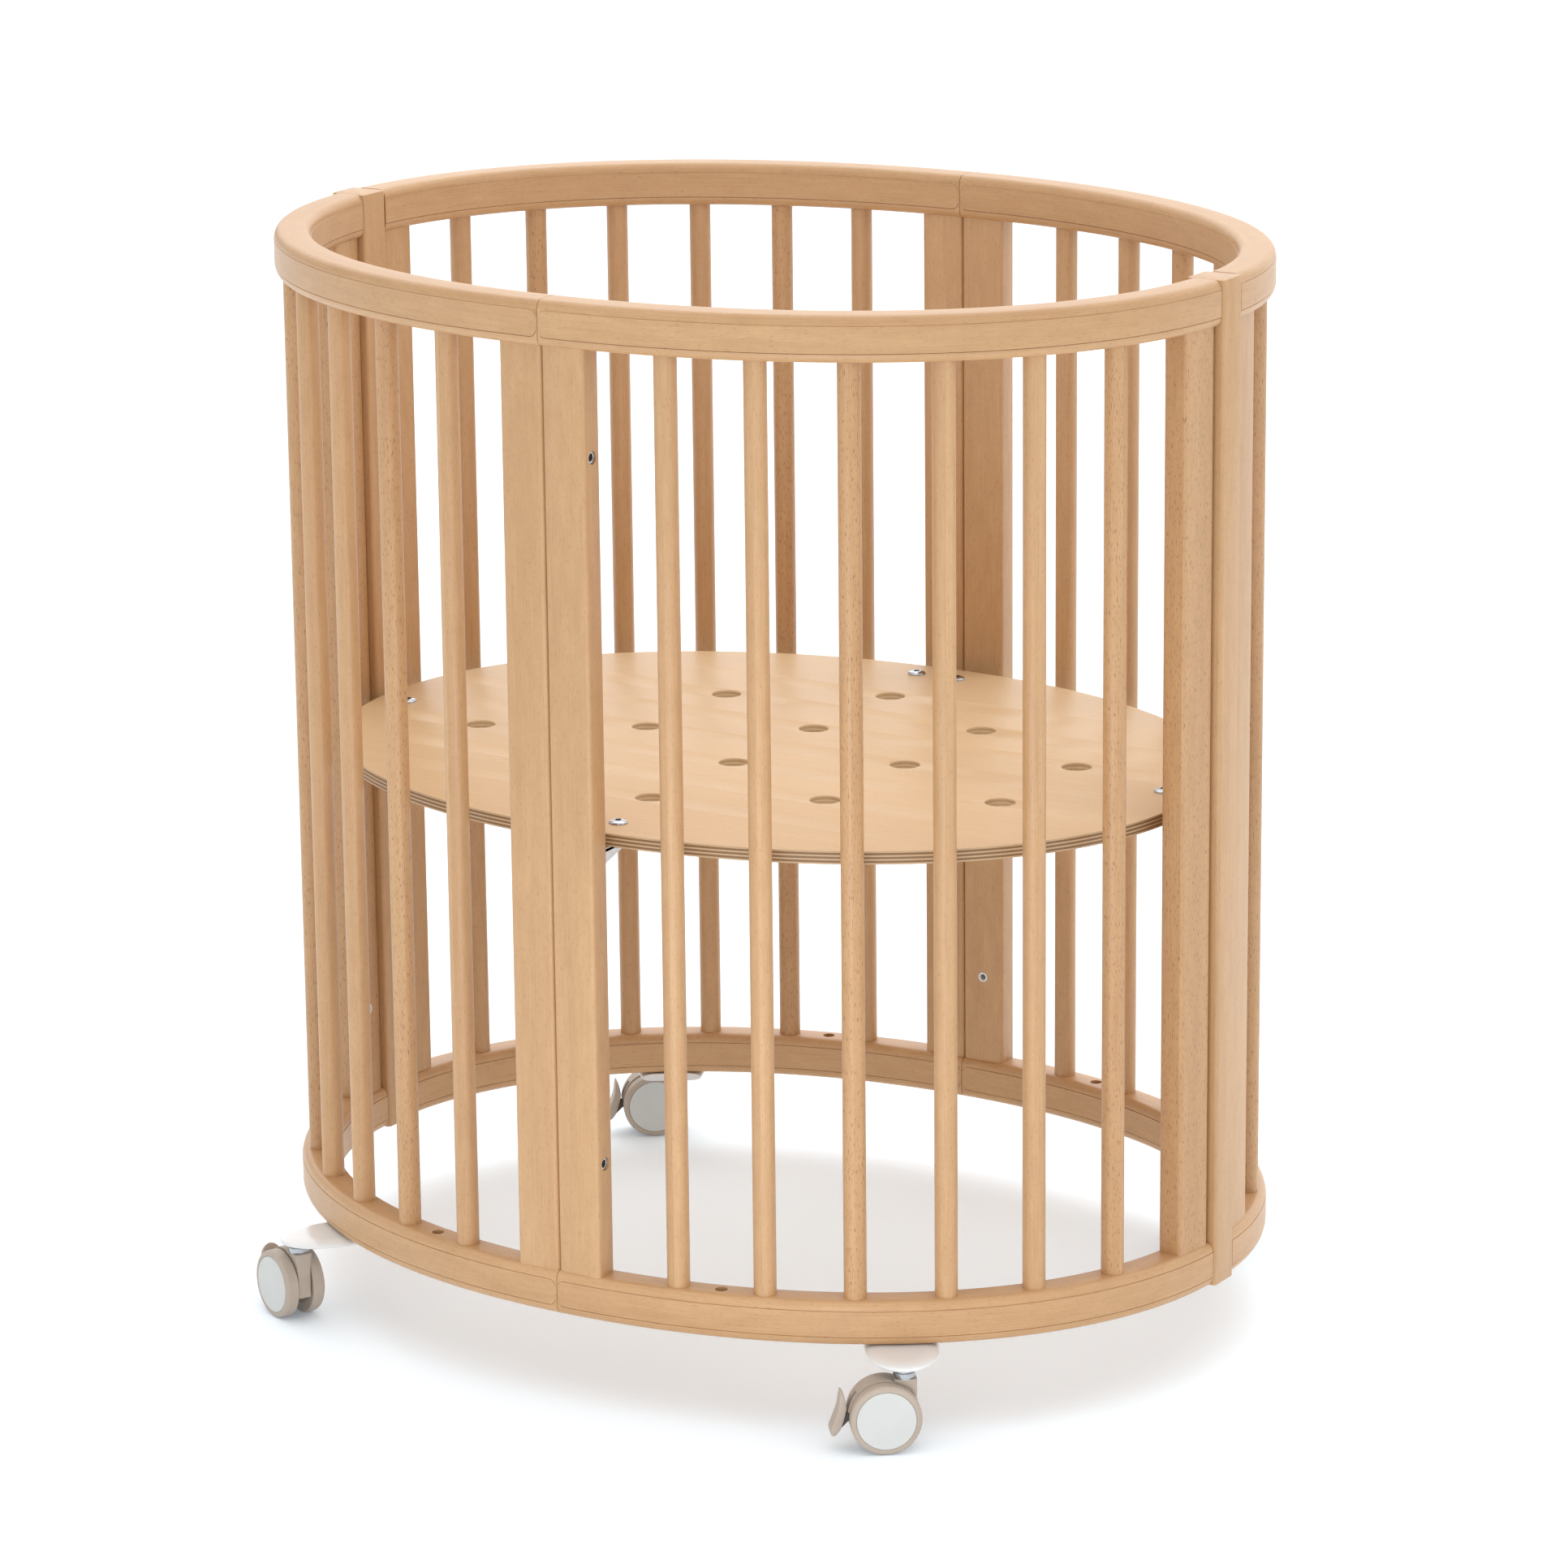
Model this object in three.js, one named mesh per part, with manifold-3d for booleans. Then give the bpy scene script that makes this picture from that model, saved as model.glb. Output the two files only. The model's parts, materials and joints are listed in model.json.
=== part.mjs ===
// Oval baby crib on four braked twin-wheel casters. Millimetres, +Z up.
// The origin is on the floor under the middle of the oval. X runs along the oval's long axis.
// Each ring of rail is four quarters: they meet at seams facing -Y and +Y, and at joint strips at +X and -X.

import * as THREE from "three";
import { mergeVertices } from "three/addons/utils/BufferGeometryUtils.js";
import Module from "manifold-3d";

const wasm = await Module();
wasm.setup();

// The oval, measured to the outside of the rails
const ovalHalfLength = 370;
const ovalHalfWidth = 296;
const ovalExponent = 2.09;

// Rails, posts, slats and joint strips
const frameHeight = 721;
const railWidth = 27;
const railHeight = 32;
const railRound = 8;
const fit = 0.3;
const postWidth = 34;
const postDepth = 19;
const postRound = 3;
const tenonInset = 5;
const tenonLength = 12;
const slatDiameter = 16;
const slatsPerQuarter = 6;
const stripWidth = 27;
const stripProud = 1;
const stripRound = 2;
const stripGroove = 1.5;
const peggingHoleDiameter = 9;
const peggingHoleDepth = 14;
const seamBoltHeights = [113, 614];
const seamBoltDiameter = 9.4;
const seamBoltDepth = 8;

// Mattress base and its six steel angles
const deckRise = 344.5;
const deckThickness = 9.5;
const deckInset = 37;
const ventDiameter = 22;
const ventPitchX = 110;
const ventPitchY = 110;
const angleThickness = 3;
const angleWidth = 18;
const angleLeg = 26;
const angleReach = 42;
const angleEmbed = 1;

// Casters
const wheelDiameter = 50;
const wheelWidth = 10;
const casterWidth = 32;
const wheelRimRound = 2.5;
const axleDiameter = 6;
const axleClearance = 0.4;
const trail = 14;
const webThickness = 11;
const webHoodRise = 1;
const bossDiameter = 17;
const bossHeight = 2.2;
const bossRise = 1.6;
const collarDiameter = 15.5;
const collarHeight = 6;
const stemDiameter = 8;
const stemDepth = 4;
const webFront = 8;
const webFrontDrop = 7;
const bracketThickness = 6;
const bracketWidth = 52;
const bracketBack = 12;
const bracketRound = 3;
const stemOutset = 25.5;
const bracketNose = 13;
const pivotInsideTread = 3.5;
const pivotAboveAxle = 5;
const pivotDiameter = 3;
const lugDiameter = 7;
const lugThickness = 4.4;
const pedalWidth = 16;
const casterTurns = { front: 37.5, left: -25.5, back: 37.5, right: 37.5 };

// How finely round shapes are cut
const railSteps = 12;
const cornerSteps = 1;
const roundSides = 10;
const wheelSides = 20;
const ovalSides = 48;
const ventSteps = 5;
const hoodSteps = 5;
const noseSteps = 5;
const leafSteps = 3;

// Heights that follow from the sizes above
const wheelRadius = wheelDiameter / 2;
const bracketBottom = wheelDiameter + bossRise + collarHeight;
const railBottom = bracketBottom + bracketThickness;
const railTop = railBottom + frameHeight;
const lowRailTop = railBottom + railHeight;
const highRailBottom = railTop - railHeight;
const deckTop = railBottom + deckRise;

const quarters = {
  front: { x: 1, y: -1 },
  left: { x: -1, y: -1 },
  back: { x: -1, y: 1 },
  right: { x: 1, y: 1 },
};

const paint = {
  beech: { color: 0xd9ab78, roughness: 0.45, metalness: 0 },
  plywood: { color: 0xe8c79a, roughness: 0.35, metalness: 0 },
  whitePlastic: { color: 0xf2f1ee, roughness: 0.2, metalness: 0 },
  casterPlastic: { color: 0xb5a596, roughness: 0.5, metalness: 0 },
};

const crib = new THREE.Group();

function solid(geometry) {
  const bare = geometry.clone();
  bare.deleteAttribute("normal");
  bare.deleteAttribute("uv");
  const merged = mergeVertices(bare, 1e-4);
  const mesh = new wasm.Mesh({
    numProp: 3,
    vertProperties: new Float32Array(merged.attributes.position.array),
    triVerts: new Uint32Array(merged.index.array),
  });
  return new wasm.Manifold(mesh);
}

function geometryOf(body) {
  const mesh = body.getMesh();
  const geometry = new THREE.BufferGeometry();
  geometry.setAttribute("position", new THREE.BufferAttribute(mesh.vertProperties, 3));
  geometry.setIndex(new THREE.BufferAttribute(mesh.triVerts, 1));
  return geometry;
}

function add(name, geometry, finish, parent = crib) {
  const material = new THREE.MeshStandardMaterial(paint[finish]);
  const mesh = new THREE.Mesh(geometry, material);
  mesh.name = name;
  parent.add(mesh);
  return mesh;
}

function block(lowX, highX, lowY, highY, lowZ, highZ) {
  const box = new THREE.BoxGeometry(highX - lowX, highY - lowY, highZ - lowZ);
  box.translate((lowX + highX) / 2, (lowY + highY) / 2, (lowZ + highZ) / 2);
  return box;
}

function rod(diameter, lowZ, highZ) {
  const cylinder = new THREE.CylinderGeometry(diameter / 2, diameter / 2, highZ - lowZ, roundSides);
  cylinder.rotateX(Math.PI / 2);
  cylinder.translate(0, 0, (lowZ + highZ) / 2);
  return cylinder;
}

// A rectangle centred on the origin with its corners cut in a few facets along a round
function roundedRectangle(width, height, radius) {
  const x = width / 2;
  const y = height / 2;
  const shape = new THREE.Shape();
  shape.absarc(x - radius, y - radius, radius, 0, Math.PI / 2);
  shape.absarc(radius - x, y - radius, radius, Math.PI / 2, Math.PI);
  shape.absarc(radius - x, radius - y, radius, Math.PI, Math.PI * 1.5);
  shape.absarc(x - radius, radius - y, radius, Math.PI * 1.5, Math.PI * 2);
  return shape;
}

// The oval at an angle, moved in from the outside of the rails along its own normal
function ovalPoint(angle, inset) {
  const power = 2 / ovalExponent;
  const cos = Math.cos(angle);
  const sin = Math.sin(angle);
  const cosPart = Math.abs(cos) ** power;
  const sinPart = Math.abs(sin) ** power;
  const x = Math.sign(cos) * ovalHalfLength * cosPart;
  const y = Math.sign(sin) * ovalHalfWidth * sinPart;
  const normal = new THREE.Vector2(
    (Math.sign(cos) * cosPart ** (ovalExponent - 1)) / ovalHalfLength,
    (Math.sign(sin) * sinPart ** (ovalExponent - 1)) / ovalHalfWidth,
  ).normalize();
  return { x: x - normal.x * inset, y: y - normal.y * inset, normal };
}

// The middle line of one quarter of the rail, from the seam to the long end, and its length
const middle = [];
const middleSteps = 400;
for (let step = 0; step <= middleSteps; step += 1) {
  const angle = (Math.PI / 2) * (1 - step / middleSteps);
  const point = ovalPoint(angle, railWidth / 2);
  const before = middle[step - 1];
  point.along = before ? before.along + Math.hypot(point.x - before.x, point.y - before.y) : 0;
  middle.push(point);
}
const quarterLength = middle[middleSteps].along;

// A place on a quarter's middle line: its point, and the direction that faces out of the oval
function placeAt(quarter, along) {
  const step = middle.findIndex((point) => point.along >= along);
  const near = middle[Math.max(step - 1, 0)];
  const far = middle[step];
  const share = (along - near.along) / Math.max(far.along - near.along, 1e-9);
  const side = quarters[quarter];
  const x = side.x * THREE.MathUtils.lerp(near.x, far.x, share);
  const y = side.y * THREE.MathUtils.lerp(near.y, far.y, share);
  const outX = side.x * THREE.MathUtils.lerp(near.normal.x, far.normal.x, share);
  const outY = side.y * THREE.MathUtils.lerp(near.normal.y, far.normal.y, share);
  return { x, y, out: Math.atan2(outY, outX) };
}

class OvalArc extends THREE.Curve {
  constructor(from, to, height) {
    super();
    this.from = from;
    this.to = to;
    this.height = height;
  }

  getPoint(share, target = new THREE.Vector3()) {
    const angle = THREE.MathUtils.lerp(this.from, this.to, share);
    const point = ovalPoint(angle, railWidth / 2);
    return target.set(point.x, point.y, this.height);
  }
}

// Spacing along a quarter, from the seam: post, six slats with equal gaps, post, groove, half the joint strip
const endAllowance = stripWidth / 2 + stripGroove;
const openLength = quarterLength - 2 * postWidth - endAllowance;
const slatGap = (openLength - slatsPerQuarter * slatDiameter) / (slatsPerQuarter + 1);
const slatPitch = slatDiameter + slatGap;
const firstSlat = postWidth + slatGap + slatDiameter / 2;
const endPostAlong = quarterLength - endAllowance - postWidth / 2;

function slatAlong(index) {
  return firstSlat + index * slatPitch;
}

// The seam post stands square to the seam, and the end post follows the oval
function postPlace(quarter, end) {
  if (end === "end") {
    return placeAt(quarter, endPostAlong);
  }
  const side = quarters[quarter];
  const x = side.x * (postWidth / 2 + fit / 2);
  const y = side.y * (ovalHalfWidth - railWidth / 2);
  return { x, y, out: (side.y * Math.PI) / 2 };
}

function stand(geometry, place) {
  const placed = geometry.clone();
  placed.rotateZ(place.out);
  placed.translate(place.x, place.y, 0);
  return placed;
}

function makeSlats(quarter) {
  const low = lowRailTop - tenonLength + fit;
  const high = highRailBottom + tenonLength - fit;
  for (let index = 0; index < slatsPerQuarter; index += 1) {
    const place = placeAt(quarter, slatAlong(index));
    const slat = add(`slat_${quarter}_${index + 1}`, rod(slatDiameter, low, high), "beech");
    slat.position.set(place.x, place.y, 0);
    slat.rotation.z = place.out;
  }
}

function postSolid() {
  const outline = roundedRectangle(postDepth, postWidth, postRound);
  const low = lowRailTop + fit;
  const high = highRailBottom - fit;
  const body = new THREE.ExtrudeGeometry(outline, { depth: high - low, bevelEnabled: false, curveSegments: cornerSteps });
  body.translate(0, 0, low);
  const tenonX = postDepth / 2 - tenonInset;
  const tenonY = postWidth / 2 - tenonInset;
  const tenon = block(-tenonX, tenonX, -tenonY, tenonY, low - tenonLength, high + tenonLength);
  return solid(body).add(solid(tenon));
}

// Recesses for the bolts that draw the two halves together at a seam, cut from the side away from it
function seamBoltRecess(quarter, height) {
  const side = quarters[quarter];
  const recess = new THREE.CylinderGeometry(seamBoltDiameter / 2, seamBoltDiameter / 2, seamBoltDepth * 2, roundSides);
  recess.rotateZ(Math.PI / 2);
  recess.translate(side.x * (postWidth + fit / 2), side.y * (ovalHalfWidth - railWidth / 2), railBottom + height);
  return solid(recess);
}

function makePosts(quarter) {
  for (const end of ["seam", "end"]) {
    const place = postPlace(quarter, end);
    let post = postSolid().rotate([0, 0, THREE.MathUtils.radToDeg(place.out)]).translate([place.x, place.y, 0]);
    const side = quarters[quarter];
    if (end === "seam" && side.x * side.y < 0) {
      for (const height of seamBoltHeights) {
        post = post.subtract(seamBoltRecess(quarter, height));
      }
    }
    add(`post_${quarter}_${end}`, geometryOf(post), "beech");
  }
}

function makeRail(quarter, level) {
  const bottom = level === "top" ? highRailBottom : railBottom;
  const side = quarters[quarter];
  const overrun = 0.03;
  const starts = { right: 0, back: Math.PI / 2, left: Math.PI, front: Math.PI * 1.5 };
  const start = starts[quarter];
  const arc = new OvalArc(start - overrun, start + Math.PI / 2 + overrun, bottom + railHeight / 2);
  const section = roundedRectangle(railHeight, railWidth, railRound);
  const sweep = new THREE.ExtrudeGeometry(section, { steps: railSteps, extrudePath: arc, curveSegments: cornerSteps });
  let rail = solid(sweep);

  const endGap = side.y < 0 ? fit : stripGroove;
  const nearX = fit / 2;
  const nearY = stripWidth / 2 + endGap;
  const farX = ovalHalfLength * 2;
  const farY = ovalHalfWidth * 2;
  const keep = block(
    Math.min(side.x * nearX, side.x * farX),
    Math.max(side.x * nearX, side.x * farX),
    Math.min(side.y * nearY, side.y * farY),
    Math.max(side.y * nearY, side.y * farY),
    bottom - railHeight,
    bottom + 2 * railHeight,
  );
  rail = rail.intersect(solid(keep));

  const face = level === "top" ? highRailBottom : lowRailTop;
  for (let index = 0; index < slatsPerQuarter; index += 1) {
    const socket = rod(slatDiameter + 2 * fit, face - tenonLength, face + tenonLength);
    rail = rail.subtract(solid(stand(socket, placeAt(quarter, slatAlong(index)))));
  }
  const mortiseX = postDepth / 2 - tenonInset + fit;
  const mortiseY = postWidth / 2 - tenonInset + fit;
  const mortise = block(-mortiseX, mortiseX, -mortiseY, mortiseY, face - tenonLength, face + tenonLength);
  for (const end of ["seam", "end"]) {
    rail = rail.subtract(solid(stand(mortise, postPlace(quarter, end))));
  }
  if (level === "bottom") {
    const between = (slatAlong(0) + slatAlong(1)) / 2;
    const hole = rod(peggingHoleDiameter, lowRailTop - peggingHoleDepth, lowRailTop + peggingHoleDepth);
    rail = rail.subtract(solid(stand(hole, placeAt(quarter, between))));
  }
  add(`rail_${level}_${quarter}`, geometryOf(rail), "beech");
}

// The joint strip stands the full height of the frame between the rails' ends
function makeStrip(name, sideX) {
  const outline = roundedRectangle(railWidth + 2 * stripProud, stripWidth, stripRound);
  const strip = new THREE.ExtrudeGeometry(outline, { depth: frameHeight, bevelEnabled: false, curveSegments: cornerSteps });
  const mesh = add(name, strip, "beech");
  mesh.position.set(sideX * (ovalHalfLength - railWidth / 2), 0, railBottom);
}

function ventCentres() {
  const centres = [];
  for (let column = -2; column <= 2; column += 1) {
    const rows = column % 2 === 0 ? [-1.5, -0.5, 0.5, 1.5] : [-1, 0, 1];
    for (const row of rows) {
      const isCorner = Math.abs(column) === 2 && Math.abs(row) > 1;
      if (!isCorner) {
        centres.push({ x: column * ventPitchX, y: row * ventPitchY });
      }
    }
  }
  return centres;
}

// A steel angle: one leg against a post's inner face, the other under the board
function angleSolid(reach) {
  const top = deckTop - deckThickness + angleEmbed;
  const face = -postDepth / 2 - fit;
  const leg = block(face - angleThickness, face, -angleWidth / 2, angleWidth / 2, top - angleLeg, top);
  const foot = block(face - reach, face, -angleWidth / 2, angleWidth / 2, top - angleThickness - angleEmbed, top);
  return solid(leg).add(solid(foot));
}

// The board is bolted to all four seam posts and to one end post at each end of the oval
function makeDeck() {
  const outline = new THREE.Shape();
  for (let step = 0; step < ovalSides; step += 1) {
    const point = ovalPoint((step / ovalSides) * Math.PI * 2, deckInset);
    if (step === 0) {
      outline.moveTo(point.x, point.y);
    } else {
      outline.lineTo(point.x, point.y);
    }
  }
  for (const centre of ventCentres()) {
    const vent = new THREE.Path();
    vent.absarc(centre.x, centre.y, ventDiameter / 2, 0, Math.PI * 2, true);
    outline.holes.push(vent);
  }
  const board = new THREE.ExtrudeGeometry(outline, {
    depth: deckThickness,
    bevelEnabled: false,
    curveSegments: ventSteps,
  });
  board.translate(0, 0, deckTop - deckThickness);
  let deck = solid(board);
  for (const [quarter, side] of Object.entries(quarters)) {
    const ends = side.x === side.y ? ["seam", "end"] : ["seam"];
    for (const end of ends) {
      const place = postPlace(quarter, end);
      const angle = angleSolid(angleReach);
      deck = deck.add(angle.rotate([0, 0, THREE.MathUtils.radToDeg(place.out)]).translate([place.x, place.y, 0]));
    }
  }
  add("mattress_base", geometryOf(deck), "plywood");
}

// The caster's bracket is a tongue that runs out from under the rail; its local X points out of the oval
function makeBracket(quarter, place) {
  const half = bracketWidth / 2;
  const nose = railWidth / 2 + stemOutset + bracketNose;
  const depth = nose - railWidth / 2 + bracketRound;
  const outline = new THREE.Shape();
  outline.moveTo(-bracketBack, -half + bracketRound);
  outline.lineTo(nose - depth, -half);
  outline.absellipse(nose - depth, 0, depth, half, -Math.PI / 2, Math.PI / 2);
  outline.lineTo(-bracketBack, half - bracketRound);
  const slab = new THREE.ExtrudeGeometry(outline, {
    depth: bracketThickness - fit,
    bevelEnabled: false,
    curveSegments: noseSteps,
  });
  slab.translate(0, 0, bracketBottom);
  const bore = rod(stemDiameter + 2 * fit, bracketBottom - stemDepth, bracketBottom + stemDepth + fit);
  bore.translate(railWidth / 2 + stemOutset, 0, 0);
  const bracket = solid(slab).subtract(solid(bore));
  const mesh = add(`caster_bracket_${quarter}`, geometryOf(bracket), "whitePlastic");
  mesh.position.set(place.x, place.y, 0);
  mesh.rotation.z = place.out;
}

// A side profile, drawn with x forward and y up, made into a slab across the caster's middle
function slabAcross(shape, thickness, curveSegments) {
  const slab = new THREE.ExtrudeGeometry(shape, { depth: thickness, bevelEnabled: false, curveSegments });
  slab.rotateX(Math.PI / 2);
  slab.translate(0, thickness / 2, 0);
  return slab;
}

function rodAcross(diameter, length, x, z) {
  const cylinder = new THREE.CylinderGeometry(diameter / 2, diameter / 2, length, roundSides);
  cylinder.translate(x, 0, z);
  return cylinder;
}

// The swivel housing: a web between the wheels with a boss, a collar and a stem on the swivel axis
function makeHousing(quarter, group) {
  const hood = wheelRadius + webHoodRise;
  const bossTop = wheelDiameter + bossRise;
  const hoodStart = THREE.MathUtils.degToRad(75);
  const hoodEnd = THREE.MathUtils.degToRad(200);
  const profile = new THREE.Shape();
  profile.moveTo(webFront, wheelRadius - webFrontDrop);
  profile.lineTo(webFront, bossTop);
  profile.lineTo(-webFront, bossTop);
  profile.absarc(-trail, wheelRadius, hood, hoodStart, hoodEnd);
  profile.lineTo(-trail - wheelRadius * 0.7, wheelRadius * 0.4);
  profile.lineTo(-trail, wheelRadius * 0.55);
  const web = slabAcross(profile, webThickness, hoodSteps);

  const boss = rod(bossDiameter, bossTop - bossHeight, bossTop);
  const collar = rod(collarDiameter, bossTop - 1, bossTop + collarHeight - fit);
  const stem = rod(stemDiameter, bossTop, bracketBottom + stemDepth);
  const bore = rodAcross(axleDiameter + 2 * axleClearance, casterWidth, -trail, wheelRadius);
  const pivotX = -trail - wheelRadius + pivotInsideTread;
  const pivotZ = wheelRadius + pivotAboveAxle;
  const slotWidth = lugThickness + 2 * fit;
  const slotReach = lugDiameter / 2 + 2 * fit;
  const slotBack = -trail - hood - fit;
  const slot = block(slotBack, pivotX + slotReach, -slotWidth / 2, slotWidth / 2, 0, pivotZ + 2 * lugDiameter);
  const pivotBore = rodAcross(pivotDiameter + 2 * fit, casterWidth, pivotX, pivotZ);
  const housing = solid(web)
    .add(solid(boss))
    .add(solid(collar))
    .add(solid(stem))
    .subtract(solid(bore))
    .subtract(solid(slot))
    .subtract(solid(pivotBore));
  add(`caster_housing_${quarter}`, geometryOf(housing), "casterPlastic", group);
}

// Both wheels and the axle that joins them, turned as one spool; flats of the tread touch the floor
function makeWheels(quarter, group) {
  const tread = wheelRadius / Math.cos(Math.PI / wheelSides);
  const outer = casterWidth / 2;
  const inner = outer - wheelWidth;
  const axle = axleDiameter / 2;
  const profile = [
    [0, -outer],
    [tread - wheelRimRound, -outer],
    [tread, -outer + wheelRimRound],
    [tread, -inner],
    [axle, -inner],
    [axle, inner],
    [tread, inner],
    [tread, outer - wheelRimRound],
    [tread - wheelRimRound, outer],
    [0, outer],
  ].map(([radius, along]) => new THREE.Vector2(radius, along));
  const spool = new THREE.LatheGeometry(profile, wheelSides, Math.PI / wheelSides);
  const mesh = add(`caster_wheels_${quarter}`, geometryOf(solid(spool)), "casterPlastic", group);
  mesh.position.set(-trail, 0, wheelRadius);
}

// The brake pedal: a rocker leaf behind the wheels, with a lug and pin held in the housing's slot
function makePedal(quarter, group) {
  const at = (behindTread, aboveAxle) => {
    return new THREE.Vector2(-trail - wheelRadius - behindTread, wheelRadius + aboveAxle);
  };
  const leaf = new THREE.Shape([at(6.5, 20.2)]);
  leaf.splineThru([at(6.4, 14), at(7.4, 7), at(10.4, -1), at(13, -8), at(12.4, -12)]);
  leaf.lineTo(at(9.4, -12.8).x, at(9.4, -12.8).y);
  leaf.splineThru([at(5, -5), at(2.2, 3.5), at(1.7, 9), at(3, 15)]);
  const pivotX = -trail - wheelRadius + pivotInsideTread;
  const pivotZ = wheelRadius + pivotAboveAxle;
  const arm = block(-trail - wheelRadius - pivotInsideTread, pivotX, -lugThickness / 2, lugThickness / 2, pivotZ - 3, pivotZ + 3);
  const pedal = solid(slabAcross(leaf, pedalWidth, leafSteps))
    .add(solid(arm))
    .add(solid(rodAcross(lugDiameter, lugThickness, pivotX, pivotZ)))
    .add(solid(rodAcross(pivotDiameter, webThickness - 1, pivotX, pivotZ)));
  add(`caster_pedal_${quarter}`, geometryOf(pedal), "casterPlastic", group);
}

function makeCaster(quarter) {
  const middleSlats = (slatAlong(slatsPerQuarter / 2 - 1) + slatAlong(slatsPerQuarter / 2)) / 2;
  const place = placeAt(quarter, middleSlats);
  makeBracket(quarter, place);
  const reach = railWidth / 2 + stemOutset;
  const group = new THREE.Group();
  group.position.set(place.x + reach * Math.cos(place.out), place.y + reach * Math.sin(place.out), 0);
  group.rotation.z = THREE.MathUtils.degToRad(casterTurns[quarter]);
  crib.add(group);
  makeHousing(quarter, group);
  makeWheels(quarter, group);
  makePedal(quarter, group);
}

for (const quarter of Object.keys(quarters)) {
  makeRail(quarter, "top");
  makeRail(quarter, "bottom");
  makePosts(quarter);
  makeSlats(quarter);
  makeCaster(quarter);
}
makeStrip("joint_strip_right", 1);
makeStrip("joint_strip_left", -1);
makeDeck();

export default crib;
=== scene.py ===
"""Detailed visual model of an oval beech crib on four braked twin-wheel casters.

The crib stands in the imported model's own frame: metres, +Z up, the origin on the floor under the
middle of the oval, X along the oval's long axis. Each ring of rail is four quarters that meet at
seams facing -Y and +Y, and at joint strips at +X and -X.
"""
import json
import math

import bmesh
import bpy
from mathutils import Matrix, Vector


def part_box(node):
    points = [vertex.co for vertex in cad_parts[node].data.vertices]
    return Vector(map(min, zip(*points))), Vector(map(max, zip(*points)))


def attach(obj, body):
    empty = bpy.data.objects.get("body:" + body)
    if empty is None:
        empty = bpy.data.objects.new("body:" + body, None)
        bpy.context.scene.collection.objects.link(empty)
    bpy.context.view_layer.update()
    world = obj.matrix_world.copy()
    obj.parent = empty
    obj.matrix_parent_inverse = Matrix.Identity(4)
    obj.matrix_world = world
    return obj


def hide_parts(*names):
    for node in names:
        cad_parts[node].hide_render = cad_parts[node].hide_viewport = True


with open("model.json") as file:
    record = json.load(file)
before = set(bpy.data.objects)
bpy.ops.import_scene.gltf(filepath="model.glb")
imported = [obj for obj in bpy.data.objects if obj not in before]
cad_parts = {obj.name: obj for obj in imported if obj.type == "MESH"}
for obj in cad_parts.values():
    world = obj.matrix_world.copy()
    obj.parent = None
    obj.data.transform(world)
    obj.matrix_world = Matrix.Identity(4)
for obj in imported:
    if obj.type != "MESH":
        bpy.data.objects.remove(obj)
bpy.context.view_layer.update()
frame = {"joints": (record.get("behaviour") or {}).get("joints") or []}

MM = 0.001

# The oval, measured to the outside of the rails
OVAL_HALF_LENGTH = 370 * MM
OVAL_HALF_WIDTH = 296 * MM
OVAL_EXPONENT = 2.09

# Rails
RAIL_WIDTH = 27 * MM
RAIL_ROUND = 6 * MM
CREASE_DEPTH = 0.4 * MM
CREASE_GROOVE = 0.5 * MM
LOW_RAIL_TOP_GROOVE = 0.3 * MM
FAINT_GROOVE = 0.1 * MM
CREASE_HEIGHT = 6.2 * MM
CREASE_CORNER = 5 * MM
CREASE_TURN_START = 1.2 * MM
CREASE_FADE_START = 0.8 * MM
CREASE_FADE = 0.6 * MM
GROOVE_LIP = 0.1 * MM
GROOVE_FLOOR_END = 0.45 * MM
GROOVE_FAR_EDGE = 0.6 * MM
END_EASE = 0.3 * MM
SEAM_GAP = 0.15 * MM
STATION = 7 * MM
LAST_STATION = 5 * MM
SEAM_STATIONS = (0, END_EASE, 0.8 * MM, 1.4 * MM, 2 * MM, 3 * MM, 4.2 * MM, 6.4 * MM)
ROUND_STEPS = 7
PEGGING_HOLE = 9 * MM
PEGGING_DEPTH = 14 * MM

# Posts, slats and joint strips
FIT = 0.3 * MM
POST_WIDTH = 34 * MM
POST_DEPTH = 19 * MM
POST_ROUND = 3 * MM
SLAT_DIAMETER = 16 * MM
SLATS_PER_QUARTER = 6
STRIP_WIDTH = 27 * MM
STRIP_PROUD = 1 * MM
STRIP_ROUND = 2.4 * MM
STRIP_GROOVE = 1.5 * MM
STRIP_EASE = 0.8 * MM
INTO_RAIL = 1 * MM
CORNER_STEPS = 5
SLAT_SIDES = 36

# Fittings in the posts: heights are above the rails' lowest face
SEAM_BOLT_HEIGHTS = (113 * MM, 614 * MM)
SEAM_BOLT_RECESS = 9.4 * MM
SEAM_BOLT_RECESS_DEPTH = 8 * MM
SEAM_BOLT_RIM = 4.5 * MM
SEAM_BOLT_SEAT = 6 * MM
SEAM_BOLT_FACE = 1.2 * MM
SEAM_BOLT_BEVEL = 0.4 * MM
SEAM_BOLT_FLOOR = 4.4 * MM
SEAM_BOLT_SOCKET = 2.3 * MM
INSERT_HEIGHT = 99 * MM
INSERT_DIAMETER = 8 * MM
INSERT_BORE = 4.6 * MM
INSERT_LENGTH = 9 * MM
INSERT_RIM_RISE = 0.15 * MM
INSERT_BEVEL = 0.3 * MM
THREAD_PITCH = 0.8 * MM
THREAD_DEPTH = 0.25 * MM
THREAD_RUN = 7 * MM
FITTING_SIDES = 32

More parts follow.
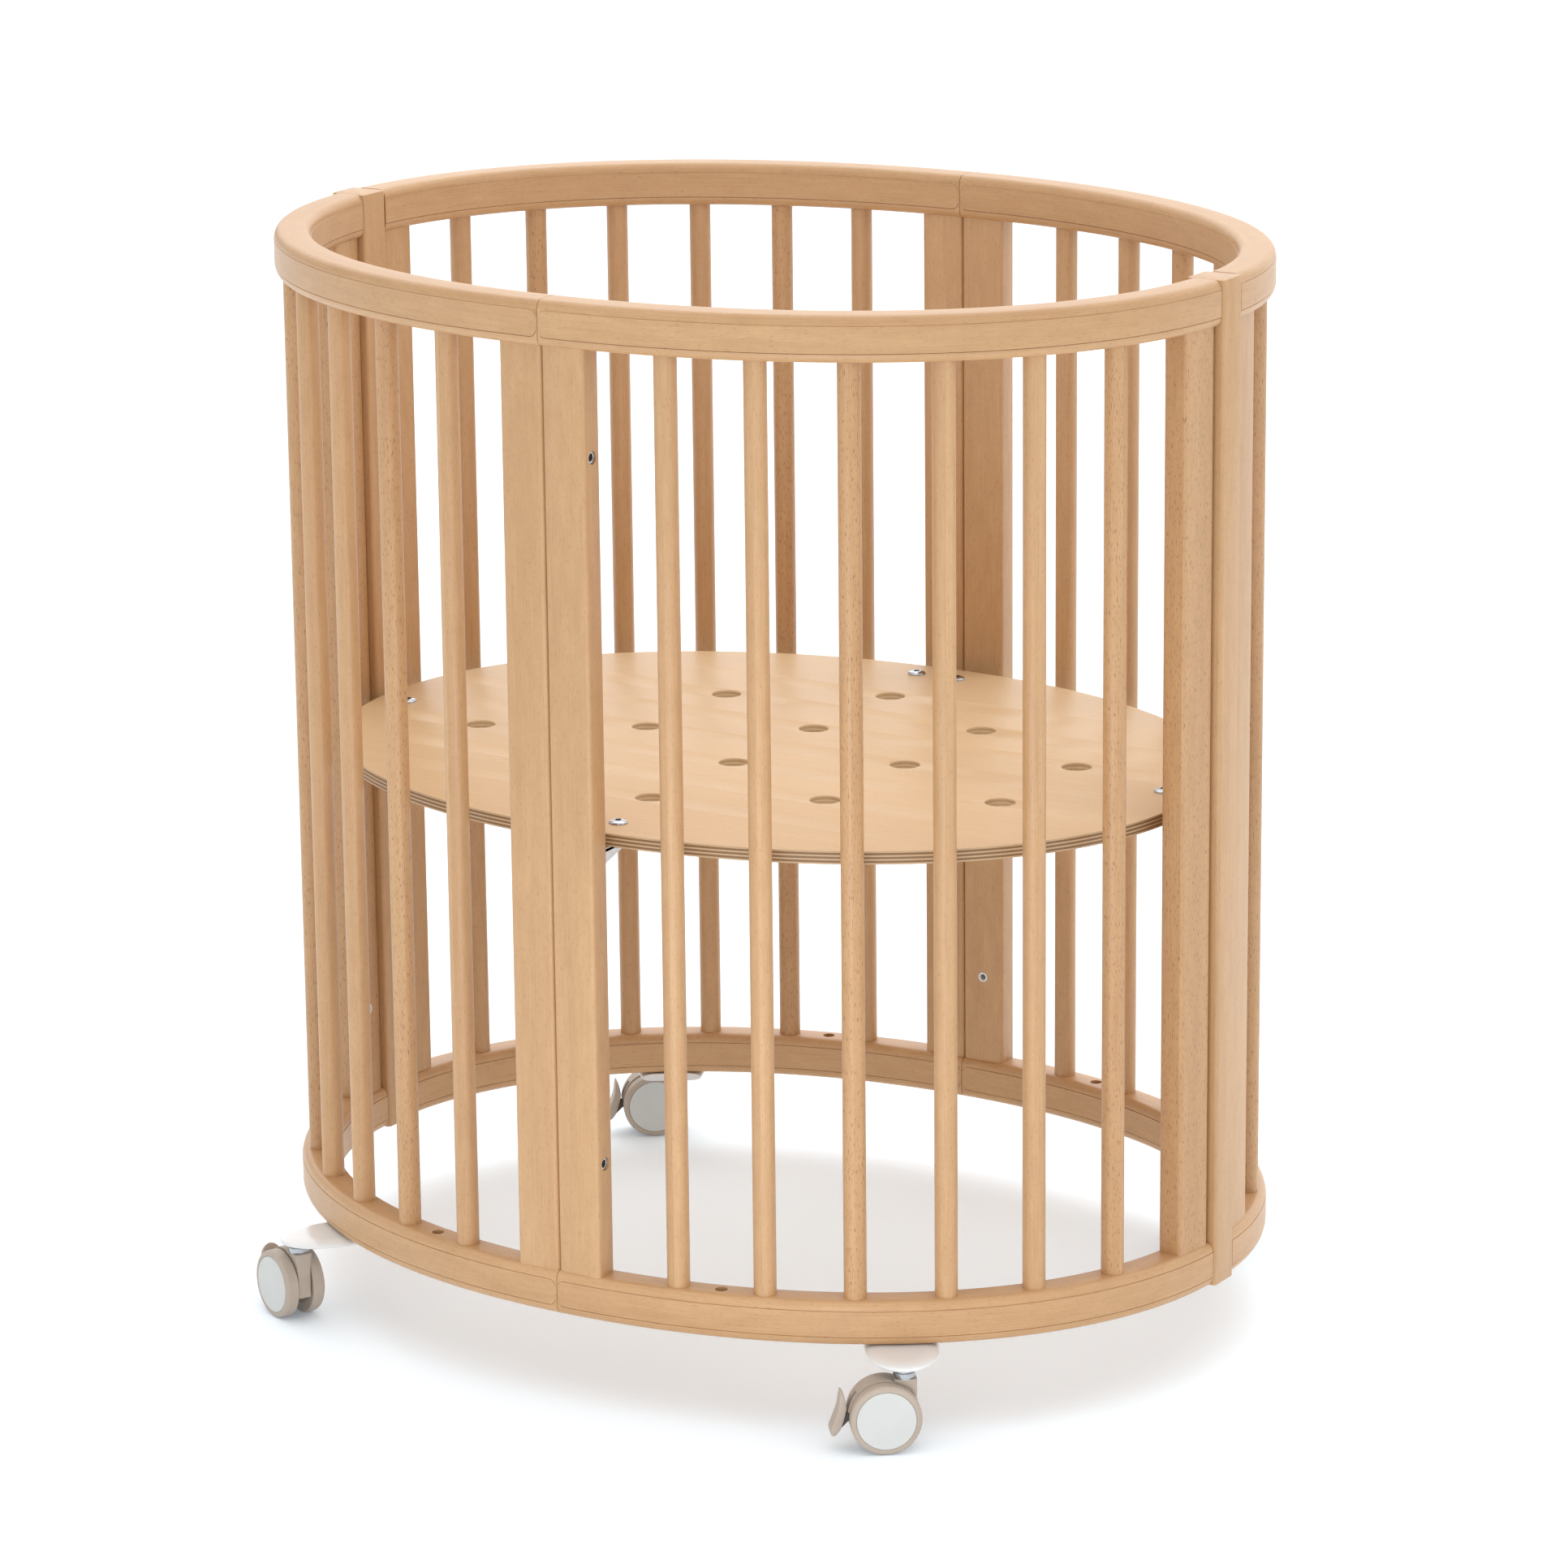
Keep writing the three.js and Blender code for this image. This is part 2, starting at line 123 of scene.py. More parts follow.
# Mattress base
DECK_INSET = 37 * MM
DECK_THICKNESS = 9.5 * MM
DECK_EASE = 0.35 * MM
DECK_FLAT_NORMAL = 0.9
DECK_SIDES = 240
VENT_SIDES = 40
VENT_DIAMETER = 22 * MM
VENT_PITCH = 110 * MM
DECK_BOLT_DIAMETER = 13.5 * MM
DECK_BOLT_INSET = 40 * MM
DECK_BOLT_RISE = 2.6 * MM
DECK_BOLT_BRIM = 0.35 * MM
DECK_BOLT_SOCKET = 2.7 * MM
DECK_BOLT_SOCKET_DEPTH = 1.7 * MM
DECK_BOLT_STEPS = 9
DECK_BOLT_SIDES = 40
ANGLE_WIDTH = 18 * MM
ANGLE_THICKNESS = 2.5 * MM
ANGLE_LEG = 26 * MM
ANGLE_REACH = 42 * MM
ANGLE_BEND = 2 * MM
GUSSET_DROP = 11 * MM
GUSSET_THICKNESS = 1.6 * MM

# Casters
WHEEL_RADIUS = 25 * MM
WHEEL_WIDTH = 10 * MM
CASTER_WIDTH = 32 * MM
DISC_RADIUS = 20.7 * MM
TRAIL = 14 * MM
WEB_THICKNESS = 10.4 * MM
WEB_FRONT = 8 * MM
WEB_FRONT_DROP = 7 * MM
SLOT_WIDTH = 5.2 * MM
BOSS_FOOT = 34 * MM
BOSS_EASE = 0.5 * MM
CAVITY_RADIUS = 13 * MM
CAVITY_HALF_WIDTH = 5 * MM
CAVITY_SIDES = 40
BRACKET_WIDTH = 52 * MM
BRACKET_THICKNESS = 5.7 * MM
BRACKET_TAIL = 12 * MM
BRACKET_NOSE_SETBACK = 3 * MM
BRACKET_TAPER = 3 * MM
BRACKET_LOW_ROUND = 7 * MM
BRACKET_HIGH_ROUND = 12 * MM
BRACKET_WIDEST_SHARE = 0.42
BRACKET_STEPS = 48
STEM_OUTSET = 25.5 * MM
BRACKET_NOSE = 13 * MM
COLLAR_RADIUS = 7.75 * MM
COLLAR_NECK = 0.6 * MM
COLLAR_SIDES = 48
AXLE_RADIUS = 3 * MM
AXLE_SIDES = 24
WHEEL_SIDES = 96
TYRE_SHOULDER = 3.2 * MM
DISC_GAP = 0.15 * MM
PEDAL_WIDTH = 15 * MM
PEDAL_TOP = 20.1 * MM
PEDAL_FOOT = 12.4 * MM
PEDAL_STEPS = 6
LUG_WIDTH = 4.4 * MM

# The viewpoint, with its angles in degrees and its lens in millimetres, and the floor, in metres
CAMERA_AZIMUTH = 31.8
CAMERA_ELEVATION = 15.17
CAMERA_ROLL = -0.582
CAMERA_DISTANCE = 4.49
CAMERA_LENS = 142.1
CAMERA_TARGET = (0.0082, -0.0002)
CAMERA_TARGET_DROP = 0.4046
FLOOR_RADIUS = 14

QUARTERS = {"front": (1, -1), "left": (-1, -1), "back": (-1, 1), "right": (1, 1)}

RAIL_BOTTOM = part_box("rail_bottom_front")[0].z
LOW_RAIL_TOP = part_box("rail_bottom_front")[1].z
HIGH_RAIL_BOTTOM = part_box("rail_top_front")[0].z
RAIL_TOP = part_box("rail_top_front")[1].z
RAIL_HEIGHT = RAIL_TOP - HIGH_RAIL_BOTTOM
DECK_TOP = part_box("mattress_base")[1].z
BRACKET_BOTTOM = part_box("caster_bracket_front")[0].z
BOSS_TOP = 2 * WHEEL_RADIUS + 1.6 * MM
HOOD_TOP = BOSS_TOP - 0.5 * MM

JOINTS = {joint["name"]: joint for joint in frame["joints"]}


# ---------------------------------------------------------------- materials

PLIES = 7
GLUE_SHARE = 0.1
PLASTIC_MOTTLE_SCALE = 60
METAL_CLOUD_SCALE = 320
METAL_SHADE = 0.86


def new_material(name):
    """A node material that holds only a shader, joined to its output, and the shader."""
    material = bpy.data.materials.new(name)
    material.use_nodes = True
    nodes = material.node_tree.nodes
    nodes.clear()
    output = nodes.new("ShaderNodeOutputMaterial")
    shader = nodes.new("ShaderNodeBsdfPrincipled")
    material.node_tree.links.new(shader.outputs["BSDF"], output.inputs["Surface"])
    return material, shader


def connect(material, source, target):
    material.node_tree.links.new(source, target)


def stretched_noise(material, along, across, detail=4.0, roughness=0.55, distortion=0.0):
    """Noise over the surface's own grain map, with so many cells a metre along and across."""
    nodes = material.node_tree.nodes
    coordinate = nodes.new("ShaderNodeTexCoord")
    mapping = nodes.new("ShaderNodeMapping")
    mapping.inputs["Scale"].default_value = (along, across, 1.0)
    noise = nodes.new("ShaderNodeTexNoise")
    noise.inputs["Scale"].default_value = 1.0
    noise.inputs["Detail"].default_value = detail
    noise.inputs["Roughness"].default_value = roughness
    noise.inputs["Distortion"].default_value = distortion
    connect(material, coordinate.outputs["UV"], mapping.inputs["Vector"])
    connect(material, mapping.outputs["Vector"], noise.inputs["Vector"])
    return noise.outputs["Fac"]


def ramp(material, value, *stops):
    """A colour ramp with (position, colour) stops."""
    node = material.node_tree.nodes.new("ShaderNodeValToRGB")
    elements = node.color_ramp.elements
    while len(elements) < len(stops):
        elements.new(0.5)
    for element, (position, colour) in zip(elements, stops):
        element.position = position
        element.color = (*colour, 1.0)
    connect(material, value, node.inputs["Fac"])
    return node.outputs["Color"]


def blend_colours(material, blend_type, factor, first, second):
    """Mix two colours; each of factor, first and second is a socket or a plain value."""
    node = material.node_tree.nodes.new("ShaderNodeMix")
    node.data_type = "RGBA"
    node.blend_type = blend_type
    sockets = (node.inputs["Factor"], node.inputs[6], node.inputs[7])
    for socket, value in zip(sockets, (factor, first, second)):
        if isinstance(value, bpy.types.NodeSocket):
            connect(material, value, socket)
        elif isinstance(value, tuple):
            socket.default_value = (*value, 1.0)
        else:
            socket.default_value = value
    return node.outputs[2]


def scaled(material, value, low, high):
    """A value from 0 to 1 moved to the range from low to high."""
    node = material.node_tree.nodes.new("ShaderNodeMapRange")
    node.inputs["To Min"].default_value = low
    node.inputs["To Max"].default_value = high
    connect(material, value, node.inputs["Value"])
    return node.outputs["Result"]


def add_bump(material, shader, height, strength, distance):
    bump = material.node_tree.nodes.new("ShaderNodeBump")
    bump.inputs["Strength"].default_value = strength
    bump.inputs["Distance"].default_value = distance
    connect(material, height, bump.inputs["Height"])
    connect(material, bump.outputs["Normal"], shader.inputs["Normal"])


def make_beech(name, light, deep, fleck_strength):
    """Satin lacquered beech: broad tone bands, fine fibres, and the short dark flecks of its rays."""
    material, shader = new_material(name)
    bands = stretched_noise(material, along=1.6, across=26, detail=3, distortion=0.4)
    tone = ramp(material, bands, (0.3, deep), (0.7, light))
    fibres = stretched_noise(material, along=14, across=1500, detail=3, roughness=0.7)
    fibre_tone = ramp(material, fibres, (0.3, (0.84, 0.80, 0.74)), (0.62, (1.0, 1.0, 1.0)))
    tone = blend_colours(material, "MULTIPLY", 0.75, tone, fibre_tone)
    mottle = stretched_noise(material, along=40, across=130, detail=2)
    mottle_tone = ramp(material, mottle, (0.35, (0.93, 0.91, 0.88)), (0.65, (1.0, 1.0, 1.0)))
    tone = blend_colours(material, "MULTIPLY", 0.8, tone, mottle_tone)
    flecks = stretched_noise(material, along=210, across=1500, detail=1, roughness=0.4)
    fleck_tone = ramp(material, flecks, (0.30, (0.52, 0.38, 0.26)), (0.37, (1.0, 1.0, 1.0)))
    tone = blend_colours(material, "MULTIPLY", fleck_strength, tone, fleck_tone)
    connect(material, tone, shader.inputs["Base Color"])
    connect(material, scaled(material, fibres, 0.36, 0.50), shader.inputs["Roughness"])
    shader.inputs["Specular IOR Level"].default_value = 0.45
    shader.inputs["Coat Weight"].default_value = 0.15
    shader.inputs["Coat Roughness"].default_value = 0.3
    add_bump(material, shader, fibres, 0.18, 0.15 * MM)
    return material


def make_veneer():
    """The board's top veneer: paler and smoother than the solid wood, under a soft gloss."""
    material, shader = new_material("veneer")
    bands = stretched_noise(material, along=1.1, across=9, detail=2, distortion=0.5)
    tone = ramp(material, bands, (0.3, (0.66, 0.44, 0.24)), (0.7, (0.70, 0.475, 0.265)))
    fibres = stretched_noise(material, along=10, across=900, detail=3, roughness=0.65)
    fibre_tone = ramp(material, fibres, (0.32, (0.91, 0.88, 0.83)), (0.6, (1.0, 1.0, 1.0)))
    tone = blend_colours(material, "MULTIPLY", 0.8, tone, fibre_tone)
    flecks = stretched_noise(material, along=160, across=900, detail=1, roughness=0.4)
    fleck_tone = ramp(material, flecks, (0.27, (0.62, 0.48, 0.34)), (0.33, (1.0, 1.0, 1.0)))
    tone = blend_colours(material, "MULTIPLY", 0.4, tone, fleck_tone)
    connect(material, tone, shader.inputs["Base Color"])
    connect(material, scaled(material, fibres, 0.44, 0.54), shader.inputs["Roughness"])
    shader.inputs["Specular IOR Level"].default_value = 0.4
    shader.inputs["Coat Weight"].default_value = 0.12
    shader.inputs["Coat Roughness"].default_value = 0.3
    add_bump(material, shader, fibres, 0.1, 0.1 * MM)
    return material


def make_ply_edge(name, plies, pale, brown, glue):
    """The board's edge: long-grain plies alternate with darker end-grain plies, between glue lines."""
    material, shader = new_material(name)
    nodes = material.node_tree.nodes
    coordinate = nodes.new("ShaderNodeTexCoord")
    split = nodes.new("ShaderNodeSeparateXYZ")
    connect(material, coordinate.outputs["UV"], split.inputs["Vector"])
    share = nodes.new("ShaderNodeMapRange")
    share.inputs["From Max"].default_value = DECK_THICKNESS
    connect(material, split.outputs["Y"], share.inputs["Value"])
    stops = []
    for ply in range(plies):
        colour = pale if ply % 2 == 0 else brown
        stops.append(((ply + GLUE_SHARE) / plies, colour))
        stops.append(((ply + 1 - GLUE_SHARE) / plies, colour))
        if ply < plies - 1:
            stops.append(((ply + 1) / plies, glue))
    tone = ramp(material, share.outputs["Result"], *stops)
    pores = stretched_noise(material, along=900, across=1400, detail=2, roughness=0.6)
    pore_tone = ramp(material, pores, (0.35, (0.72, 0.64, 0.54)), (0.6, (1.0, 1.0, 1.0)))
    tone = blend_colours(material, "MULTIPLY", 0.6, tone, pore_tone)
    connect(material, tone, shader.inputs["Base Color"])
    shader.inputs["Roughness"].default_value = 0.5
    add_bump(material, shader, pores, 0.25, 0.15 * MM)
    return material


def make_plastic(name, colour, shade, grain, roughness, coat=0.0):
    """Moulded plastic: an even colour with a faint cast mottle and a fine surface grain."""
    material, shader = new_material(name)
    nodes = material.node_tree.nodes
    coordinate = nodes.new("ShaderNodeTexCoord")
    mottle = nodes.new("ShaderNodeTexNoise")
    mottle.inputs["Scale"].default_value = PLASTIC_MOTTLE_SCALE
    connect(material, coordinate.outputs["Object"], mottle.inputs["Vector"])
    tone = ramp(material, mottle.outputs["Fac"], (0.35, shade), (0.65, colour))
    fine = nodes.new("ShaderNodeTexNoise")
    fine.inputs["Scale"].default_value = grain
    fine.inputs["Detail"].default_value = 3
    connect(material, coordinate.outputs["Object"], fine.inputs["Vector"])
    connect(material, tone, shader.inputs["Base Color"])
    low, high = roughness
    connect(material, scaled(material, fine.outputs["Fac"], low, high), shader.inputs["Roughness"])
    shader.inputs["Coat Weight"].default_value = coat
    shader.inputs["Coat Roughness"].default_value = 0.08
    add_bump(material, shader, fine.outputs["Fac"], 0.2, 0.08 * MM)
    return material


def make_metal(name, colour, roughness):
    """Plated steel, slightly uneven in its shine."""
    material, shader = new_material(name)
    nodes = material.node_tree.nodes
    coordinate = nodes.new("ShaderNodeTexCoord")
    cloud = nodes.new("ShaderNodeTexNoise")
    cloud.inputs["Scale"].default_value = METAL_CLOUD_SCALE
    cloud.inputs["Detail"].default_value = 4
    connect(material, coordinate.outputs["Object"], cloud.inputs["Vector"])
    darker = tuple(METAL_SHADE * part for part in colour)
    tone = ramp(material, cloud.outputs["Fac"], (0.3, darker), (0.7, colour))
    connect(material, tone, shader.inputs["Base Color"])
    shader.inputs["Metallic"].default_value = 1.0
    low, high = roughness
    connect(material, scaled(material, cloud.outputs["Fac"], low, high), shader.inputs["Roughness"])
    return material


BEECH = make_beech("beech", light=(0.60, 0.365, 0.185), deep=(0.52, 0.30, 0.142), fleck_strength=0.35)
BEECH_FLECKED = make_beech("beech_flecked", light=(0.58, 0.345, 0.168), deep=(0.49, 0.27, 0.122),
                           fleck_strength=0.95)
VENEER = make_veneer()
PLY_EDGE = make_ply_edge("ply_edge", PLIES, pale=(0.56, 0.385, 0.225), brown=(0.25, 0.135, 0.055),
                         glue=(0.13, 0.065, 0.028))
# A paler copy of the ply edge for the walls of the vents: painted light in the vents.
PLY_VENT_PAINTED_LIGHT = make_ply_edge("ply_vent_painted_light", PLIES, pale=(0.72, 0.52, 0.31), brown=(0.56, 0.38, 0.21),
                         glue=(0.40, 0.25, 0.13))
WHITE_PLASTIC = make_plastic("white_plastic", colour=(0.74, 0.74, 0.74), shade=(0.725, 0.725, 0.725),
                             grain=900, roughness=(0.14, 0.22), coat=0.5)
CASTER_PLASTIC = make_plastic("caster_plastic", colour=(0.43, 0.355, 0.29), shade=(0.40, 0.33, 0.27),
                              grain=2200, roughness=(0.42, 0.58))
# A near-black copy of the caster plastic for the housing's core and the pedal's arm: painted shade between
# and behind the wheels.
PAINTED_SHADE_PLASTIC = make_plastic("painted_shade_plastic", colour=(0.12, 0.10, 0.075), shade=(0.09, 0.075, 0.06),
                              grain=2200, roughness=(0.5, 0.65))
DISC_PLASTIC = make_plastic("disc_plastic", colour=(0.57, 0.575, 0.555), shade=(0.555, 0.56, 0.54),
                            grain=2600, roughness=(0.36, 0.46))
CHROME = make_metal("chrome", colour=(0.50, 0.52, 0.55), roughness=(0.10, 0.18))
ZINC = make_metal("zinc", colour=(0.80, 0.80, 0.79), roughness=(0.38, 0.52))
# Near-black steel for the floors of the bolts' hex sockets: painted shade in the sockets.
SOCKET_PAINTED_SHADE = make_metal("socket_painted_shade", colour=(0.10, 0.10, 0.11), roughness=(0.3, 0.45))


# ---------------------------------------------------------------- mesh helpers

SHARP_ANGLE = math.radians(32)
GRAIN_STEP = 1.37
END_GRAIN_STRETCH = 0.02
grain_shift = 0.0


def next_grain():
    """A fresh place on the grain map, so that no two pieces of wood look alike."""
    global grain_shift
    grain_shift += GRAIN_STEP
    return grain_shift


def shade(mesh):
    """Smooth faces, with a crisp edge where two faces meet at a clear angle."""
    builder = bmesh.new()
    builder.from_mesh(mesh)
    for face in builder.faces:
        face.smooth = True
    for edge in builder.edges:
        edge.smooth = edge.calc_face_angle(math.pi) < SHARP_ANGLE
    builder.to_mesh(mesh)
    builder.free()


def to_object(name, builder, *materials):
    """Turn a bmesh into a linked object with its faces pointing out."""
    bmesh.ops.recalc_face_normals(builder, faces=builder.faces)
    mesh = bpy.data.meshes.new(name)
    builder.to_mesh(mesh)
    builder.free()
    for material in materials:
        mesh.materials.append(material)
    shade(mesh)
    thing = bpy.data.objects.new(name, mesh)
    bpy.context.scene.collection.objects.link(thing)
    return thing


def skin(rings, along, around):
    """A closed skin over rings of points; along and around are its grain map, in metres."""
    builder = bmesh.new()
    grain = builder.loops.layers.uv.new("grain")
    rows = [[builder.verts.new(point) for point in ring] for ring in rings]
    count = len(rings[0])
    for row in range(len(rows) - 1):
        for column in range(count):
            after = (column + 1) % count
            corners = (rows[row][column], rows[row][after], rows[row + 1][after], rows[row + 1][column])
            face = builder.faces.new(corners)
            places = ((row, column), (row, column + 1), (row + 1, column + 1), (row + 1, column))
            for loop, (near, turn) in zip(face.loops, places):
                loop[grain].uv = (along[near], around[turn])
    for row, start in ((rows[0], along[0]), (rows[-1], along[-1])):
        face = builder.faces.new(row)
        for loop, corner in zip(face.loops, row):
            loop[grain].uv = (start + END_GRAIN_STRETCH * corner.co.z, around[0] + corner.co.x + corner.co.y)
    return builder


def perimeter(points):
    """The distance round a closed loop of points, at each point and back at the first."""
    total = 0.0
    places = [total]
    for index, point in enumerate(points):
        following = points[(index + 1) % len(points)]
        total += (Vector(following) - Vector(point)).length
        places.append(total)
    return places


def rounded_rectangle(width, height, radius, steps):
    """Points round a rectangle centred on the origin, with its corners as arcs."""
    points = []
    for turn, (x_side, y_side) in enumerate(((1, 1), (-1, 1), (-1, -1), (1, -1))):
        for step in range(steps + 1):
            angle = math.pi / 2 * (turn + step / steps)
            x = x_side * (width / 2 - radius) + radius * math.cos(angle)
            y = y_side * (height / 2 - radius) + radius * math.sin(angle)
            points.append(Vector((x, y)))
    return points


def circle(radius, sides):
    return [Vector((radius * math.cos(math.tau * k / sides), radius * math.sin(math.tau * k / sides)))
            for k in range(sides)]


def bar(name, material, outline, levels, place):
    """A straight bar along Z: (height, margin) levels, each the outline moved in by the margin."""
    widest = max(abs(point.x) for point in outline)
    deepest = max(abs(point.y) for point in outline)
    rings = []
    for height, margin in levels:
        squeeze = Vector((1 - margin / widest, 1 - margin / deepest))
        rings.append([place @ Vector((p.x * squeeze.x, p.y * squeeze.y, height)) for p in outline])
    shift = next_grain()
    along = [height + shift for height, margin in levels]
    around = [distance + shift for distance in perimeter(outline)]
    return to_object(name, skin(rings, along, around), material)


def lathe(name, profile, sides, place, *materials):
    """A closed turned shape about Z: the (radius, height) profile starts and ends on the axis."""
    builder = bmesh.new()
    rows = []
    for radius, height in profile:
        if radius == 0:
            rows.append([builder.verts.new(place @ Vector((0, 0, height)))])
        else:
            ring = circle(radius, sides)
            rows.append([builder.verts.new(place @ Vector((p.x, p.y, height))) for p in ring])
    for low, high in zip(rows, rows[1:]):
        for k in range(sides):
            after = (k + 1) % sides
            corners = [low[k % len(low)], low[after % len(low)], high[after % len(high)], high[k % len(high)]]
            unique = list(dict.fromkeys(corners))
            builder.faces.new(unique)
    return to_object(name, builder, *materials)


def prism(name, outline, thickness, place, bevel, steps, *materials):
    """An outline made into a slab from z = 0 to its thickness, with its edges rounded."""
    builder = bmesh.new()
    low = [builder.verts.new(Vector((x, y, 0))) for x, y in outline]
    high = [builder.verts.new(Vector((x, y, thickness))) for x, y in outline]
    builder.faces.new(low)
    builder.faces.new(high)
    for k in range(len(outline)):
        after = (k + 1) % len(outline)
        builder.faces.new((low[k], low[after], high[after], high[k]))
    if bevel > 0:
        rims = [edge for edge in builder.edges if abs(edge.verts[0].co.z - edge.verts[1].co.z) < 1e-9]
        bmesh.ops.bevel(builder, geom=rims, offset=bevel, offset_type="OFFSET", segments=steps,
                        profile=0.5, affect="EDGES", clamp_overlap=True)
    builder.transform(place)
    return to_object(name, builder, *materials)


def cylinder_cutter(radius, sides, place, depth):
    """A plain drill that cuts to the depth below the origin of its place."""
    ring = circle(radius, sides)
    rings = [[place @ Vector((p.x, p.y, z)) for p in ring] for z in (-depth, depth)]
    around = perimeter(ring)
    return to_object("cutter", skin(rings, [0, 2 * depth], around))


def cut(thing, cutters):
    """Cut the drills out of a piece and keep only the result."""
    for cutter in cutters:
        cutter.data.materials.append(thing.data.materials[0])
        modifier = thing.modifiers.new("hole", "BOOLEAN")
        modifier.operation = "DIFFERENCE"
        modifier.solver = "EXACT"
        modifier.object = cutter
    evaluated = thing.evaluated_get(bpy.context.evaluated_depsgraph_get())
    result = bpy.data.meshes.new_from_object(evaluated)
    thing.modifiers.clear()
    thing.data = result
    for cutter in cutters:
        bpy.data.objects.remove(cutter)
    shade(result)
    return thing


def finish_piece(thing, body, slot, *replaced):
    """Say which body a piece moves with, and the nodes that it stands for. The slot argument is not used."""
    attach(thing, body)
    if replaced:
        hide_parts(*replaced)
    return thing


# ---------------------------------------------------------------- the oval

def oval_point(angle, inset):
    """A point of the oval and its outward direction, moved in from the outside of the rails."""
    power = 2 / OVAL_EXPONENT
    cos = math.cos(angle)
    sin = math.sin(angle)
    cos_part = abs(cos) ** power
    sin_part = abs(sin) ** power
    x = math.copysign(OVAL_HALF_LENGTH * cos_part, cos)
    y = math.copysign(OVAL_HALF_WIDTH * sin_part, sin)
    lean = OVAL_EXPONENT - 1
    out_x = math.copysign(cos_part ** lean / OVAL_HALF_LENGTH, cos)
    out_y = math.copysign(sin_part ** lean / OVAL_HALF_WIDTH, sin)
    out = Vector((out_x, out_y)).normalized()
    return Vector((x, y)) - out * inset, out


MIDDLE_STEPS = 600
middle_line = []
for step in range(MIDDLE_STEPS + 1):
    point, out = oval_point(math.pi / 2 * (1 - step / MIDDLE_STEPS), RAIL_WIDTH / 2)
    along_line = 0.0
    if middle_line:
        along_line = middle_line[-1][0] + (point - middle_line[-1][1]).length
    middle_line.append((along_line, point, out))
QUARTER_LENGTH = middle_line[-1][0]


def middle_place(along):
    """The middle line's point and outward direction in the quarter where x and y are positive."""
    for near, far in zip(middle_line, middle_line[1:]):
        if far[0] >= along:
            share = (along - near[0]) / (far[0] - near[0])
            return near[1].lerp(far[1], share), near[2].lerp(far[2], share).normalized()
    return middle_line[-1][1], middle_line[-1][2]


def standing(quarter, along, height=0.0):
    """A frame on a quarter's middle line: X points out of the oval and Z points up."""
    x_side, y_side = QUARTERS[quarter]
    point, out = middle_place(along)
    angle = math.atan2(y_side * out.y, x_side * out.x)
    return Matrix.Translation((x_side * point.x, y_side * point.y, height)) @ Matrix.Rotation(angle, 4, "Z")


END_ALLOWANCE = STRIP_WIDTH / 2 + STRIP_GROOVE
SLAT_GAP = (QUARTER_LENGTH - 2 * POST_WIDTH - END_ALLOWANCE - SLATS_PER_QUARTER * SLAT_DIAMETER) / (
    SLATS_PER_QUARTER + 1)


def slat_along(index):
    return POST_WIDTH + SLAT_GAP + SLAT_DIAMETER / 2 + index * (SLAT_DIAMETER + SLAT_GAP)


def post_place(quarter, end):
    """The seam post stands square to the seam, and the end post follows the oval."""
    if end == "end":
        return standing(quarter, QUARTER_LENGTH - END_ALLOWANCE - POST_WIDTH / 2)
    x_side, y_side = QUARTERS[quarter]
    x = x_side * (POST_WIDTH / 2 + SEAM_GAP)
    y = y_side * (OVAL_HALF_WIDTH - RAIL_WIDTH / 2)
    return Matrix.Translation((x, y, 0)) @ Matrix.Rotation(y_side * math.pi / 2, 4, "Z")


# ---------------------------------------------------------------- rails

def half_section(from_seam, groove_depth):
    """The outer half of a rail's section, from its rounded edge up, as (inset, height) points.

    The flat band stands proud of the round, with a fine groove between them that turns in to meet
    itself at the seam.
    """
    near = max(from_seam - CREASE_TURN_START, 0)
    turn = CREASE_CORNER - min(near, CREASE_CORNER)
    drop = CREASE_CORNER - math.sqrt(max(CREASE_CORNER ** 2 - turn ** 2, 0)) + GROOVE_LIP
    share = min(max(from_seam - CREASE_FADE_START, 0) / CREASE_FADE, 1)
    base = CREASE_DEPTH * (1 - share)
    points = []
    for step in range(ROUND_STEPS + 1):
        angle = math.pi / 2 * step / ROUND_STEPS
        inset = CREASE_DEPTH + (RAIL_ROUND - CREASE_DEPTH) * (1 - math.sin(angle))
        points.append((inset, CREASE_HEIGHT * (1 - math.cos(angle))))
    line = CREASE_HEIGHT + drop
    floor = CREASE_DEPTH + groove_depth * share
    points.append((CREASE_DEPTH, line))
    points.append((floor, line + GROOVE_LIP))
    points.append((floor, line + GROOVE_FLOOR_END))
    points.append((base, line + GROOVE_FAR_EDGE))
    return points


def rail_section(from_seam, ease, high_groove):
    """The whole section, round from the bottom outside corner, eased inwards at a cut end."""
    low = half_section(from_seam, CREASE_GROOVE)
    high = half_section(from_seam, high_groove)
    outer = low + [(low[-1][0], RAIL_HEIGHT / 2)]
    outer += [(inset, RAIL_HEIGHT - height) for inset, height in reversed(high)]
    inner = [(RAIL_WIDTH - inset, height) for inset, height in reversed(outer)]
    whole = outer + inner
    squeeze_x = 1 - 2 * ease / RAIL_WIDTH
    squeeze_z = 1 - 2 * ease / RAIL_HEIGHT
    mid_x = RAIL_WIDTH / 2
    mid_z = RAIL_HEIGHT / 2
    return [(mid_x + (i - mid_x) * squeeze_x, mid_z + (h - mid_z) * squeeze_z) for i, h in whole]


def rail_stations(end_y):
    """Distances along a quarter where the rail's skin has a ring: close together at the seam."""
    last = QUARTER_LENGTH - end_y
    first = SEAM_STATIONS[-1]
    span = last - LAST_STATION - first
    steps = round(span / STATION)
    even = [first + span * step / steps for step in range(1, steps + 1)]
    return [*SEAM_STATIONS, *even, last - END_EASE, last]


